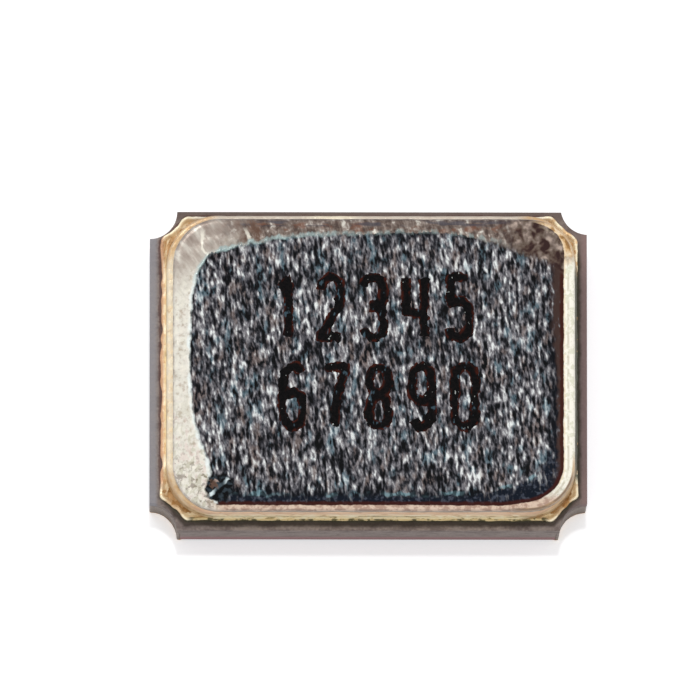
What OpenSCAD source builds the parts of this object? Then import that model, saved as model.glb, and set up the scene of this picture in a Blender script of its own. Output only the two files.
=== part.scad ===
// Crystal oscillator in a four-pad ceramic package of the 1.6 x 1.2 mm size
//
// The origin is on the board plane, under the middle of the package. +Z is up,
// +X runs along the long side, and pad 1 is at the corner with the least X and Y.
// A co-fired ceramic tub carries the die on its floor and the quartz blank on a
// shelf above it. A brazed metal ring and a seam-welded lid close it.

/* [Ceramic body] */
// Length of the ceramic body along X
body_l = 1.6; // [1.45:0.05:2.2]
// Width of the ceramic body along Y
body_w = 1.175; // [1.1:0.025:1.8]
// Thickness of the floor layer
floor_t = 0.08; // [0.05:0.01:0.15]
// Thickness of the shelf layer, which the die lies in
shelf_t = 0.11; // [0.1:0.005:0.16]
// Thickness of the wall layer above the shelf
wall_t = 0.08; // [0.06:0.01:0.14]
// Radius of the round notch down each corner
castellation_r = 0.1; // [0.07:0.005:0.12]
// Width of the shelf at the end that holds the blank
mount_shelf = 0.21; // [0.18:0.01:0.24]
// Width of the shelf at the free end
free_shelf = 0.09; // [0.05:0.01:0.12]
// Width of the shelf along each long side
side_shelf = 0.06; // [0.03:0.01:0.08]

/* [Terminals] */
// Thickness of the plated pads under the body
terminal_t = 0.015; // [0.008:0.001:0.03]
// Thickness of the plating on the wall of each corner notch
notch_plating_t = 0.012; // [0.006:0.001:0.02]
// Length of a pad along X
pad_l = 0.478; // [0.42:0.01:0.56]
// Width of a pad along Y
pad_w = 0.388; // [0.34:0.01:0.44]
// Distance from a pad to the body's short side
pad_inset_x = 0.08; // [0.05:0.005:0.1]
// Distance from a pad to the body's long side
pad_inset_y = 0.057; // [0.03:0.003:0.08]
// Corner radius of a pad
pad_corner_r = 0.015; // [0.005:0.005:0.03]
// How far the pad's neck reaches past the notch along the long side
neck_reach_x = 0.017; // [0.01:0.001:0.03]
// How far the pad's neck reaches past the notch along the short side
neck_reach_y = 0.049; // [0.03:0.001:0.07]
// Width of the thin tip that the neck leaves beside the notch
neck_tip = 0.006; // [0.003:0.001:0.01]
// Length of that tip along X
neck_tip_l = 0.057; // [0.03:0.001:0.07]

/* [Seal ring] */
// Width of bare ceramic that a centred frame leaves at each short side
rim_margin_x = 0.0375; // [0.03:0.0025:0.05]
// Width of bare ceramic that a centred frame leaves at each long side
rim_margin_y = 0.0275; // [0.025:0.0025:0.04]
// How far the frame was printed off centre along X
frame_shift_x = 0.0025; // [-0.005:0.0005:0.005]
// How far the frame was printed off centre along Y
frame_shift_y = 0.0085; // [-0.01:0.0005:0.01]
// Length that a corner cut takes off the frame's long side
frame_cut_x = 0.095; // [0.09:0.005:0.12]
// Length that a corner cut takes off the frame's short side
frame_cut_y = 0.09; // [0.09:0.005:0.12]
// Thickness of the metallised frame on top of the walls
metal_frame_t = 0.01; // [0.006:0.001:0.02]
// Thickness of the braze under the ring
braze_t = 0.008; // [0.006:0.001:0.02]
// Width of the braze's foot beside the ring, on both sides
braze_foot = 0.005; // [0.003:0.001:0.005]
// Height that the braze climbs up the ring's walls
braze_climb = 0.03; // [0.01:0.005:0.05]
// Width of the frame that a centred ring leaves bare at each short side
ring_margin_x = 0.0145; // [0.013:0.0005:0.03]
// Width of the frame that a centred ring leaves bare at each long side
ring_margin_y = 0.0125; // [0.01:0.0005:0.02]
// How far the ring was set down off the frame's centre along X
ring_shift_x = 0.0075; // [-0.0075:0.0005:0.0075]
// How far the ring was set down off the frame's centre along Y
ring_shift_y = -0.0015; // [-0.005:0.0005:0.005]
// How far the ring may lie off the body's centre, which the cavity allows for
ring_play = 0.012; // [0.01:0.001:0.02]
// Width of the ring's wall
ring_w = 0.13; // [0.1:0.005:0.14]
// Height of the ring
ring_h = 0.127; // [0.1:0.001:0.2]
// Corner radius of the ring's outer wall
ring_corner_r = 0.185; // [0.17:0.005:0.22]
// Radius of the ring's upper outer edge
ring_edge_r = 0.012; // [0.005:0.001:0.02]

/* [Lid] */
// Thickness of the lid in its middle
lid_t = 0.07; // [0.06:0.005:0.1]
// Width of the ring's ledge that a centred lid leaves bare at each short side
lid_margin_x = 0.0145; // [0.01:0.0005:0.03]
// Width of the ring's ledge that a centred lid leaves bare at each long side
lid_margin_y = 0.01; // [0.008:0.001:0.03]
// How far the lid was set down off the ring's centre along X
lid_shift_x = 0.008; // [-0.01:0.001:0.01]
// How far the lid was set down off the ring's centre along Y
lid_shift_y = -0.008; // [-0.008:0.001:0.008]
// Corner radius of the lid
lid_corner_r = 0.17; // [0.14:0.005:0.2]
// Radius of the melted shoulder at the lid's edge
lid_shoulder_r = 0.02; // [0.01:0.005:0.03]
// Depth of the track that the weld wheels press round the lid
weld_track_drop = 0.004; // [0.002:0.001:0.01]
// Width of the flat of that track
weld_track_w = 0.04; // [0.02:0.005:0.05]
// Width of the slope from the track up to the lid's middle
weld_track_slope = 0.02; // [0.01:0.005:0.03]

/* [Quartz blank] */
// Thickness of the blank, which sets its frequency
blank_t = 0.045; // [0.03:0.005:0.06]
// Gap between the blank's held end and the cavity wall
blank_held_gap = 0.05; // [0.03:0.005:0.07]
// Gap between the blank's free end and the cavity wall
blank_free_gap = 0.13; // [0.05:0.01:0.16]
// Gap between the blank and the cavity wall on each long side
blank_side_gap = 0.07; // [0.04:0.005:0.1]
// Thickness of an electrode's metal film
film_t = 0.005; // [0.005:0.001:0.008]
// Length of an electrode's main field along X
electrode_l = 0.56; // [0.4:0.02:0.62]
// Width of an electrode's main field along Y
electrode_w = 0.42; // [0.3:0.02:0.46]
// Width of the tab that leads from the field to the blank's corner
tab_w = 0.12; // [0.08:0.01:0.14]
// Length of the tab's foot round the held end
tab_foot_l = 0.12; // [0.1:0.01:0.16]
// Distance from a tab's middle to the blank's long side
tab_inset = 0.088; // [0.075:0.001:0.1]

/* [Crystal mount] */
// Thickness of a printed conductor inside the package
print_t = 0.006; // [0.005:0.001:0.01]
// Length of a crystal pad along X
crystal_pad_l = 0.17; // [0.15:0.01:0.18]
// Width of a crystal pad along Y
crystal_pad_w = 0.26; // [0.2:0.01:0.28]
// Gap between a crystal pad and the cavity walls
crystal_pad_gap = 0.006; // [0.004:0.002:0.02]
// Height of the adhesive between pad and blank
adhesive_gap = 0.014; // [0.008:0.001:0.02]
// Radius of an adhesive dot where it meets the pad
adhesive_r = 0.064; // [0.05:0.002:0.068]
// Height of an adhesive dot at the blank's end
adhesive_h = 0.058; // [0.045:0.001:0.06]
// Distance from an adhesive dot's middle to the blank's held end
adhesive_set = 0.03; // [0.02:0.005:0.05]

/* [Die] */
// Thickness of the oscillator die
die_t = 0.08; // [0.05:0.005:0.085]
// Gap between the die and the short sides of its pocket
die_gap_x = 0.1; // [0.05:0.01:0.12]
// Gap between the die and the long sides of its pocket
die_gap_y = 0.07; // [0.03:0.01:0.09]
// Radius of a gold bump
bump_r = 0.03; // [0.02:0.002:0.034]
// Height of a gold bump after bonding
bump_h = 0.014; // [0.01:0.001:0.02]
// Distance from a bump's middle to the die's short side
bump_inset_x = 0.09; // [0.06:0.01:0.12]
// Distance from an outer bump's middle to the die's long side
bump_inset_y = 0.058; // [0.045:0.001:0.07]
// Distance from a crystal bump's middle to the package's centre line
crystal_bump_y = 0.08; // [0.06:0.005:0.09]

/* [Conductors] */
// Width of a printed track
track_w = 0.05; // [0.03:0.005:0.055]
// Radius of a land under a bump and of a cap on a via
land_r = 0.036; // [0.034:0.001:0.04]
// Radius of a filled via
via_r = 0.025; // [0.015:0.001:0.03]
// Distance from a terminal via to the short side of the pocket
terminal_via_x = 0.07; // [0.05:0.005:0.08]
// Distance from a terminal via to the long side of the pocket
terminal_via_y = 0.1; // [0.07:0.005:0.11]
// Distance from a crystal via to the inner side of the mounting shelf
crystal_via_x = 0.1; // [0.07:0.005:0.12]
// Distance from a crystal via to the package's centre line
crystal_via_y = 0.17; // [0.165:0.005:0.2]
// Distance from the ring's ground via to both sides of the body
ring_via_inset = 0.14; // [0.13:0.005:0.145]

/* [Hidden] */
$fn = 48;

ceramic_color = [0.50, 0.46, 0.50];
gold_color = [0.81, 0.63, 0.32];
tungsten_color = [0.36, 0.35, 0.36];
braze_color = [0.66, 0.58, 0.38];
ring_color = [0.86, 0.77, 0.60];
lid_color = [0.60, 0.62, 0.65];
quartz_color = [0.86, 0.90, 0.93, 0.7];
electrode_color = [0.88, 0.80, 0.55];
adhesive_color = [0.72, 0.70, 0.68];
silicon_color = [0.25, 0.27, 0.33];

// Heights above the board, from the pads up
floor_z = terminal_t + floor_t;
shelf_z = floor_z + shelf_t;
body_z = shelf_z + wall_t;
braze_z = body_z + metal_frame_t;
ring_z = braze_z + braze_t;
lid_z = ring_z + ring_h;
die_z = floor_z + print_t + bump_h;
blank_z = shelf_z + print_t + adhesive_gap + film_t;

// Outlines, each taken from the one that it sits on
frame_l = body_l - 2 * rim_margin_x;
frame_w = body_w - 2 * rim_margin_y;
frame_at = [frame_shift_x, frame_shift_y];
ring_l = frame_l - 2 * ring_margin_x;
ring_outer_w = frame_w - 2 * ring_margin_y;
ring_at = frame_at + [ring_shift_x, ring_shift_y];
lid_l = ring_l - 2 * lid_margin_x;
lid_w = ring_outer_w - 2 * lid_margin_y;
lid_at = ring_at + [lid_shift_x, lid_shift_y];
cavity_l = ring_l - 2 * (ring_w + braze_foot + ring_play);
cavity_w = ring_outer_w - 2 * (ring_w + braze_foot + ring_play);
cavity_corner_r = ring_corner_r - ring_w - braze_foot;
lower_notch_r = castellation_r + notch_plating_t;

// The pocket in the shelf layer, and the die in the middle of it
pocket_x0 = -cavity_l / 2 + mount_shelf;
pocket_x1 = cavity_l / 2 - free_shelf;
pocket_y = cavity_w / 2 - side_shelf;
die_x0 = pocket_x0 + die_gap_x;
die_x1 = pocket_x1 - die_gap_x;
die_y = pocket_y - die_gap_y;

// The blank, held at its end of least X
blank_x0 = -cavity_l / 2 + blank_held_gap;
blank_l = cavity_l - blank_held_gap - blank_free_gap;
blank_y = cavity_w / 2 - blank_side_gap;
blank_mid_x = blank_x0 + blank_l / 2;
tab_y = blank_y - tab_inset;
adhesive_x = blank_x0 + adhesive_set;

// Bumps and vias
bump_x0 = die_x0 + bump_inset_x;
bump_x1 = die_x1 - bump_inset_x;
bump_y = die_y - bump_inset_y;
via_x0 = pocket_x0 + terminal_via_x;
via_x1 = pocket_x1 - terminal_via_x;
via_y = pocket_y - terminal_via_y;
crystal_via = [pocket_x0 - crystal_via_x, crystal_via_y];
ring_via_at = [body_l / 2 - ring_via_inset, -body_w / 2 + ring_via_inset];

// The six conductors on the floor: bump, then via
TRACKS = [
    [[bump_x0, -bump_y], [via_x0, -via_y]],
    [[bump_x1, -bump_y], [via_x1, -via_y]],
    [[bump_x1, bump_y], [via_x1, via_y]],
    [[bump_x0, bump_y], [via_x0, via_y]],
    [[bump_x0, -crystal_bump_y], [crystal_via[0], -crystal_via[1]]],
    [[bump_x0, crystal_bump_y], [crystal_via[0], crystal_via[1]]]
];
TERMINAL_TRACKS = [0 : 3];
CRYSTAL_TRACKS = [4 : 5];

// The corner of each terminal, as the signs of X and Y
CORNERS = [[-1, -1], [1, -1], [1, 1], [-1, 1]];

// Shapes that the pieces share

// Outline of the ceramic with its corner notches
module body_outline(notch_r) {
    difference() {
        square([body_l, body_w], center = true);
        for (c = CORNERS)
            translate([c[0] * body_l / 2, c[1] * body_w / 2]) circle(notch_r);
    }
}

// Rectangle with round corners
module rounded_outline(l, w, r) {
    square([l - 2 * r, w], center = true);
    square([l, w - 2 * r], center = true);
    for (c = CORNERS)
        translate([c[0] * (l / 2 - r), c[1] * (w / 2 - r)]) circle(r);
}

// Carries a profile round a rounded rectangle. The profile's x runs outwards
// from the centres of the corners, and its y runs up.
module around(l, w, r) {
    half_l = l / 2 - r;
    half_w = w / 2 - r;
    for (turn = [0, 180]) rotate(turn) {
        translate([-half_l, half_w, 0])
            rotate([90, 0, 90]) linear_extrude(2 * half_l) children();
        translate([half_l, half_w, 0])
            rotate([90, 0, 0]) linear_extrude(2 * half_w) children();
        translate([half_l, half_w, 0])
            rotate_extrude(angle = 90) children();
        translate([-half_l, half_w, 0])
            rotate(90) rotate_extrude(angle = 90) children();
    }
}

// Places what follows at a corner of the body, with x and y running inwards
module at_corner(c) {
    translate([c[0] * body_l / 2, c[1] * body_w / 2, 0])
        mirror([c[0] > 0 ? 1 : 0, 0, 0])
        mirror([0, c[1] > 0 ? 1 : 0, 0])
        children();
}

// A filled via between two heights
module via(at, z0, z1) {
    translate([at[0], at[1], z0]) cylinder(h = z1 - z0, r = via_r);
}

// One printed conductor: a land, a straight track and a cap on its via
module track(ends) {
    run = ends[1] - ends[0];
    translate([0, 0, floor_z]) linear_extrude(print_t) {
        for (end = ends) translate(end) circle(land_r);
        translate(ends[0]) rotate(atan2(run[1], run[0]))
            translate([0, -track_w / 2]) square([norm(run), track_w]);
    }
}

// Ceramic body

// The layers are fired into one piece. The cuts are the cavity, the pocket and
// the room that the conductors take up.
module ceramic_base() {
    color(ceramic_color) difference() {
        union() {
            translate([0, 0, terminal_t])
                linear_extrude(floor_t + shelf_t) body_outline(lower_notch_r);
            translate([0, 0, shelf_z])
                linear_extrude(wall_t) body_outline(castellation_r);
        }
        translate([0, 0, shelf_z]) linear_extrude(body_z)
            rounded_outline(cavity_l, cavity_w, cavity_corner_r);
        translate([pocket_x0, -pocket_y, floor_z])
            cube([pocket_x1 - pocket_x0, 2 * pocket_y, body_z]);
        all_vias();
        for (t = TRACKS) track(t);
    }
}

// Terminals

// Outline of a pad and its neck, seen from above, at the corner of least X and Y
module pad_outline() {
    neck_x = castellation_r + pad_inset_y + neck_reach_x;
    neck_y = castellation_r + neck_reach_y;
    difference() {
        union() {
            translate([pad_inset_x + pad_l / 2, pad_inset_y + pad_w / 2])
                rounded_outline(pad_l, pad_w, pad_corner_r);
            polygon([
                [0, 0],
                [castellation_r + neck_reach_x, 0],
                [neck_x, pad_inset_y],
                [neck_x, neck_y],
                [pad_inset_x, neck_y],
                [neck_tip_l, castellation_r + 2 * neck_tip],
                [0, castellation_r + neck_tip]
            ]);
        }
        circle(castellation_r);
    }
}

// A solder pad, its neck and the plating up the corner notch, in one piece
module terminal(number) {
    color(gold_color) at_corner(CORNERS[number - 1]) {
        linear_extrude(terminal_t) pad_outline();
        rotate_extrude(angle = 90)
            translate([castellation_r, 0]) square([notch_plating_t, shelf_z]);
    }
}

// Conductors inside the ceramic

module terminal_vias() {
    color(tungsten_color)
        for (i = TERMINAL_TRACKS) via(TRACKS[i][1], terminal_t, floor_z);
}

module crystal_vias() {
    color(tungsten_color)
        for (i = CRYSTAL_TRACKS) via(TRACKS[i][1], floor_z + print_t, shelf_z);
}

// Grounds the ring and the lid through terminal 2
module ring_via() {
    color(tungsten_color) via(ring_via_at, terminal_t, body_z);
}

module all_vias() {
    terminal_vias();
    crystal_vias();
    ring_via();
}

module floor_tracks() {
    color(gold_color) for (t = TRACKS) track(t);
}

// A pad on the mounting shelf. The side is -1 for pad 1 and 1 for pad 2.
module crystal_pad(side) {
    y = side > 0 ? cavity_w / 2 - crystal_pad_gap - crystal_pad_w
                 : -cavity_w / 2 + crystal_pad_gap;
    color(gold_color)
        translate([-cavity_l / 2 + crystal_pad_gap, y, shelf_z])
        linear_extrude(print_t)
        translate([crystal_pad_l / 2, crystal_pad_w / 2])
        rounded_outline(crystal_pad_l, crystal_pad_w, cavity_corner_r);
}

// Die

// A gold ball flattened between land and die, with a round rim
module stud_bump() {
    rotate_extrude() {
        square([bump_r - bump_h / 2, bump_h]);
        translate([bump_r - bump_h / 2, bump_h / 2]) circle(d = bump_h);
    }
}

module stud_bumps() {
    color(gold_color) for (t = TRACKS)
        translate([t[0][0], t[0][1], floor_z + print_t]) stud_bump();
}

module oscillator_ic() {
    color(silicon_color) translate([die_x0, -die_y, die_z])
        cube([die_x1 - die_x0, 2 * die_y, die_t]);
}

// Quartz blank and its mount

module quartz_blank() {
    color(quartz_color) translate([blank_x0, -blank_y, blank_z])
        cube([blank_l, 2 * blank_y, blank_t]);
}

// The films of both faces, seen from above: the main field and its tab
module electrode_outline() {
    translate([blank_mid_x - electrode_l / 2, -electrode_w / 2])
        square([electrode_l, electrode_w]);
    polygon([
        [blank_x0, tab_y - tab_w / 2],
        [blank_mid_x - electrode_l / 2, electrode_w / 2 - tab_w],
        [blank_mid_x - electrode_l / 2, electrode_w / 2],
        [blank_x0, tab_y + tab_w / 2]
    ]);
}

// A field above the blank, its tab, and the foot that folds round the held end
module electrode_film() {
    translate([0, 0, blank_z + blank_t]) linear_extrude(film_t) electrode_outline();
    translate([blank_x0 - film_t, tab_y - tab_w / 2, blank_z - film_t])
        cube([film_t, tab_w, blank_t + 2 * film_t]);
    translate([blank_x0, tab_y - tab_w / 2, blank_z - film_t])
        cube([tab_foot_l, tab_w, film_t]);
}

module electrode_top() {
    color(electrode_color) electrode_film();
}

// The same film turned over about the blank's length
module electrode_bottom() {
    mid_z = blank_z + blank_t / 2;
    color(electrode_color)
        translate([0, 0, mid_z]) rotate([180, 0, 0]) translate([0, 0, -mid_z])
        electrode_film();
}

// A domed dot of conductive adhesive that runs under the blank and up its end
module mount_adhesive(side) {
    dome_r = (pow(adhesive_r, 2) + pow(adhesive_h, 2)) / (2 * adhesive_h);
    pad_z = shelf_z + print_t;
    color(adhesive_color) difference() {
        intersection() {
            translate([adhesive_x, side * tab_y, pad_z + adhesive_h - dome_r])
                sphere(dome_r);
            translate([adhesive_x - dome_r, side * tab_y - dome_r, pad_z])
                cube([2 * dome_r, 2 * dome_r, 2 * dome_r]);
        }
        translate([blank_x0 - film_t, -blank_y, blank_z - film_t])
            cube([blank_l, 2 * blank_y, blank_t + 2 * film_t]);
    }
}

// Seal

// Plated frame on the walls, with its corners cut off inside the notches
module seal_metallisation() {
    half_l = frame_l / 2;
    half_w = frame_w / 2;
    color(gold_color) translate([0, 0, body_z]) linear_extrude(metal_frame_t)
        difference() {
            translate(frame_at) polygon([
                [half_l - frame_cut_x, half_w],
                [frame_cut_x - half_l, half_w],
                [-half_l, half_w - frame_cut_y],
                [-half_l, frame_cut_y - half_w],
                [frame_cut_x - half_l, -half_w],
                [half_l - frame_cut_x, -half_w],
                [half_l, frame_cut_y - half_w],
                [half_l, half_w - frame_cut_y]
            ]);
            rounded_outline(cavity_l, cavity_w, cavity_corner_r);
        }
}

// Silver-copper braze under the ring, with a foot up both of its walls
module braze_joint() {
    outer = ring_corner_r;
    inner = ring_corner_r - ring_w;
    color(braze_color) translate([ring_at[0], ring_at[1], braze_z])
        around(ring_l, ring_outer_w, ring_corner_r)
        polygon([
            [inner - braze_foot, 0],
            [outer + braze_foot, 0],
            [outer, braze_t + braze_climb],
            [outer, braze_t],
            [inner, braze_t],
            [inner, braze_t + braze_climb]
        ]);
}

module seal_ring() {
    inner = ring_corner_r - ring_w;
    color(ring_color) translate([ring_at[0], ring_at[1], ring_z])
        around(ring_l, ring_outer_w, ring_corner_r) {
            translate([inner, 0]) square([ring_w, ring_h - ring_edge_r]);
            translate([inner, 0]) square([ring_w - ring_edge_r, ring_h]);
            translate([ring_corner_r - ring_edge_r, ring_h - ring_edge_r])
                circle(ring_edge_r);
        }
}

// Section of the lid's rim: a melted shoulder, the weld track and the slope
module lid_rim_profile() {
    track_h = lid_t - weld_track_drop;
    track_x = lid_corner_r - lid_shoulder_r - weld_track_w;
    square([lid_corner_r, track_h - lid_shoulder_r]);
    square([lid_corner_r - lid_shoulder_r, track_h]);
    translate([lid_corner_r - lid_shoulder_r, track_h - lid_shoulder_r])
        circle(lid_shoulder_r);
    polygon([
        [0, 0],
        [track_x, 0],
        [track_x, track_h],
        [track_x - weld_track_slope, lid_t],
        [0, lid_t]
    ]);
}

module lid() {
    middle_l = lid_l - 2 * lid_corner_r;
    middle_w = lid_w - 2 * lid_corner_r;
    color(lid_color) translate([lid_at[0], lid_at[1], lid_z]) {
        translate([-middle_l / 2, -middle_w / 2, 0]) cube([middle_l, middle_w, lid_t]);
        around(lid_l, lid_w, lid_corner_r) lid_rim_profile();
    }
}

ceramic_base();
terminal(1);  // terminal_1
terminal(2);  // terminal_2
terminal(3);  // terminal_3
terminal(4);  // terminal_4
terminal_vias();
ring_via();
floor_tracks();
crystal_vias();
crystal_pad(-1);  // crystal_pad_1
crystal_pad(1);  // crystal_pad_2
stud_bumps();
oscillator_ic();
mount_adhesive(-1);  // mount_adhesive_1
mount_adhesive(1);  // mount_adhesive_2
quartz_blank();
electrode_top();
electrode_bottom();
seal_metallisation();
braze_joint();
seal_ring();
lid();
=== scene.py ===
"""Dresses the crystal oscillator: its ceramic tub, pads, brazed seal and marked lid.

Every piece is modelled in millimetres and then settled in metres at the place
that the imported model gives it. Patterns are written in millimetres as well.
"""

import logging
import math
from dataclasses import dataclass, field
from enum import Enum
from typing import Callable, Sequence

import bmesh
import bpy
from mathutils import Matrix, Vector, noise


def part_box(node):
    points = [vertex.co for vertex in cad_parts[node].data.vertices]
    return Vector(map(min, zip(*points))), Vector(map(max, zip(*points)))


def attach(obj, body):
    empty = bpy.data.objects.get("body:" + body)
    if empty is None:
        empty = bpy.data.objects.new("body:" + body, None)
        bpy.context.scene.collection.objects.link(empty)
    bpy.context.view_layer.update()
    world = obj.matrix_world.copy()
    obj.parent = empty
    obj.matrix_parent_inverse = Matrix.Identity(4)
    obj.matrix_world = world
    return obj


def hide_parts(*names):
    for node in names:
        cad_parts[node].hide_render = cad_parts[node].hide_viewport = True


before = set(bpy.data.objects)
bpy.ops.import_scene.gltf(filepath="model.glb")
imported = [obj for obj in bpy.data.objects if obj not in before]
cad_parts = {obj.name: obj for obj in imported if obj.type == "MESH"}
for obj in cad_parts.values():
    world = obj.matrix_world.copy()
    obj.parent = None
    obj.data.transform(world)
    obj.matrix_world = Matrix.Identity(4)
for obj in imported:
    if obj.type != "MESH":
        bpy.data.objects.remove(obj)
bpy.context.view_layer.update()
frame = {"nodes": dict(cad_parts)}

MM = 0.001
ROOT = "root"
SEAL_CUT = (0.095, 0.09)

log = logging.getLogger("oscillator")


class Slot(Enum):
    """Material slot names, one handed to Bench.settle with each piece made here."""

    ALUMINA = "alumina"
    GOLD = "gold_plating"
    BRAZE = "braze"
    RING = "ring_plating"
    LID = "lid_metal"


@dataclass(frozen=True)
class Tone:
    """A colour as a screen shows it, from 0 to 255."""

    red: int
    green: int
    blue: int

    @property
    def linear(self) -> tuple[float, float, float, float]:
        """The colour as the shaders take it."""
        return tuple(self._linear(c / 255) for c in (self.red, self.green, self.blue)) + (1.0,)

    @staticmethod
    def _linear(c: float) -> float:
        """Takes the screen's curve off one channel."""
        return c / 12.92 if c <= 0.04045 else ((c + 0.055) / 1.055) ** 2.4


@dataclass(frozen=True)
class Box:
    """A node's box in millimetres."""

    low: Vector
    high: Vector

    @classmethod
    def of(cls, node: str) -> "Box":
        """Reads the box of one CAD node."""
        low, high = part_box(node)
        return cls(low / MM, high / MM)

    @property
    def size(self) -> Vector:
        """Lengths of the three sides."""
        return self.high - self.low

    @property
    def middle(self) -> Vector:
        """The point in the middle."""
        return (self.high + self.low) / 2


# Patterns

Socket = bpy.types.NodeSocket
Value = Socket | Tone | float
Span = tuple[float, float]
Stops = Sequence[tuple[float, Tone]]


@dataclass(frozen=True)
class Grain:
    """A noise: its cells per millimetre, one number or one for each axis, and how it is made."""

    cells: float | tuple[float, float, float]
    detail: float = 2.0
    rough: float = 0.5
    swirl: float = 0.0
    turn: float = 0.0
    shift: tuple[float, float, float] = (0, 0, 0)


@dataclass(frozen=True)
class Stain:
    """A tint, its strength, and the spans of X, Y and Z over which it comes in, in millimetres.

    Each span runs from where the tint is absent to where it is full.
    """

    tone: Tone
    share: float = 1.0
    x: tuple[Span, ...] = ()
    y: tuple[Span, ...] = ()
    z: tuple[Span, ...] = ()


class Pattern:
    """A material whose pattern is built up from nodes on Object coordinates in millimetres."""

    def __init__(self, name: str) -> None:
        """Starts a material with one surface shader and the axes of the place.

        Args:
            name: The material's name.
        """
        self.material = bpy.data.materials.new(name)
        self.material.use_nodes = True
        self.nodes = self.material.node_tree.nodes
        self.links = self.material.node_tree.links
        self.shader = self.nodes["Principled BSDF"]
        self.output = self.nodes["Material Output"]
        place = self.nodes.new("ShaderNodeTexCoord")
        scale = self.nodes.new("ShaderNodeMapping")
        scale.inputs["Scale"].default_value = (1 / MM,) * 3
        self.links.new(place.outputs["Object"], scale.inputs["Vector"])
        self.at = scale.outputs["Vector"]
        axes = self.nodes.new("ShaderNodeSeparateXYZ")
        self.links.new(self.at, axes.inputs["Vector"])
        self.x, self.y, self.z = axes.outputs

    def feed(self, socket: Socket, value: Value) -> None:
        """Links a socket or writes a constant on it.

        Args:
            socket: The input to feed.
            value: What it gets: another socket, a tone or a number.
        """
        if isinstance(value, bpy.types.NodeSocket):
            self.links.new(value, socket)
        elif isinstance(value, Tone):
            socket.default_value = value.linear
        else:
            socket.default_value = value

    def surface(self, **values: Value) -> None:
        """Sets the shader's sockets, named with underscores for spaces."""
        for name, value in values.items():
            self.feed(self.shader.inputs[name.replace("_", " ")], value)

    def stretched(self, scale: Sequence[float], turn: float, shift: Sequence[float]) -> Socket:
        """Gives the place turned about Z, scaled and shifted.

        Args:
            scale: Cells per millimetre along X, Y and Z.
            turn: Angle about Z in degrees.
            shift: Offset in cells.

        Returns:
            The socket of the new place.
        """
        turned_at = self.nodes.new("ShaderNodeMapping")
        turned_at.inputs["Rotation"].default_value = (0, 0, math.radians(turn))
        self.links.new(self.at, turned_at.inputs["Vector"])
        node = self.nodes.new("ShaderNodeMapping")
        node.inputs["Scale"].default_value = scale
        node.inputs["Location"].default_value = shift
        self.links.new(turned_at.outputs["Vector"], node.inputs["Vector"])
        return node.outputs["Vector"]

    def grain(self, made: Grain) -> Socket:
        """Adds a noise.

        Args:
            made: How it is made.

        Returns:
            The socket of its height, from 0 to 1.
        """
        even = isinstance(made.cells, (int, float))
        place = self.at if even else self.stretched(made.cells, made.turn, made.shift)
        node = self.nodes.new("ShaderNodeTexNoise")
        self.links.new(place, node.inputs["Vector"])
        node.inputs["Scale"].default_value = made.cells if even else 1.0
        node.inputs["Detail"].default_value = made.detail
        node.inputs["Roughness"].default_value = made.rough
        node.inputs["Distortion"].default_value = made.swirl
        return node.outputs["Fac"]

    def cells(self, per_mm: float) -> Socket:
        """Adds a cell pattern.

        Args:
            per_mm: Cells per millimetre.

        Returns:
            The socket of the distance from the cell's point.
        """
        node = self.nodes.new("ShaderNodeTexVoronoi")
        self.links.new(self.at, node.inputs["Vector"])
        node.inputs["Scale"].default_value = per_mm
        return node.outputs["Distance"]

    def sum(self, operation: str, a: Value, b: Value = 0.0, c: Value = 0.0) -> Socket:
        """Does one step of arithmetic.

        Args:
            operation: The Math node's name for it.
            a: First value.
            b: Second value, where the operation has one.
            c: Third value, where the operation has one.

        Returns:
            The socket of the result.
        """
        node = self.nodes.new("ShaderNodeMath")
        node.operation = operation
        for socket, value in zip(node.inputs, (a, b, c)):
            self.feed(socket, value)
        return node.outputs["Value"]

    def times(self, *values: Value) -> Value:
        """Multiplies one or more values.

        Args:
            values: What is multiplied.

        Returns:
            The product.
        """
        result = values[0]
        for value in values[1:]:
            result = self.sum("MULTIPLY", result, value)
        return result

    def less(self, a: Value, b: Value) -> Socket:
        """Takes the second value from the first."""
        return self.sum("SUBTRACT", a, b)

    def shifted(self, value: Value, height: Value, size: float) -> Socket:
        """Adds a size times a height to a value."""
        return self.sum("MULTIPLY_ADD", height, size, value)

    def sway(self, height: Value, size: float) -> Socket:
        """Turns a height of 0 to 1 into an offset of half a size to either side."""
        return self.sum("MULTIPLY_ADD", height, size, -size / 2)

    def far(self, value: Value, place: float = 0.0) -> Socket:
        """Gives how far a value is from a place."""
        return self.sum("ABSOLUTE", self.less(value, place) if place else value)

    def blend(self, share: float, a: Value, b: Value) -> Socket:
        """Adds two heights, of which the first has a share and the second has the rest."""
        return self.sum("MULTIPLY_ADD", a, share, self.sum("MULTIPLY", b, 1 - share))

    def near(self, value: Value, place: float, reach: float) -> Socket:
        """Gives 1 where a value is at a place, and 0 where it is farther off than the reach."""
        return self.fade(self.sum("ABSOLUTE", self.less(value, place)), reach, 0.25 * reach)

    def fade(self, value: Value, start: Value, end: Value, low: Value = 0.0, high: Value = 1.0) -> Socket:
        """Takes a value smoothly from one result to another.

        Args:
            value: What is read.
            start: Where the result is still low.
            end: Where it has become high.
            low: Result at the start.
            high: Result at the end.

        Returns:
            The socket of the result.
        """
        node = self.nodes.new("ShaderNodeMapRange")
        node.interpolation_type = "SMOOTHSTEP"
        names = ("Value", "From Min", "From Max", "To Min", "To Max")
        for name, fed in zip(names, (value, start, end, low, high)):
            self.feed(node.inputs[name], fed)
        return node.outputs["Result"]

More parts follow.
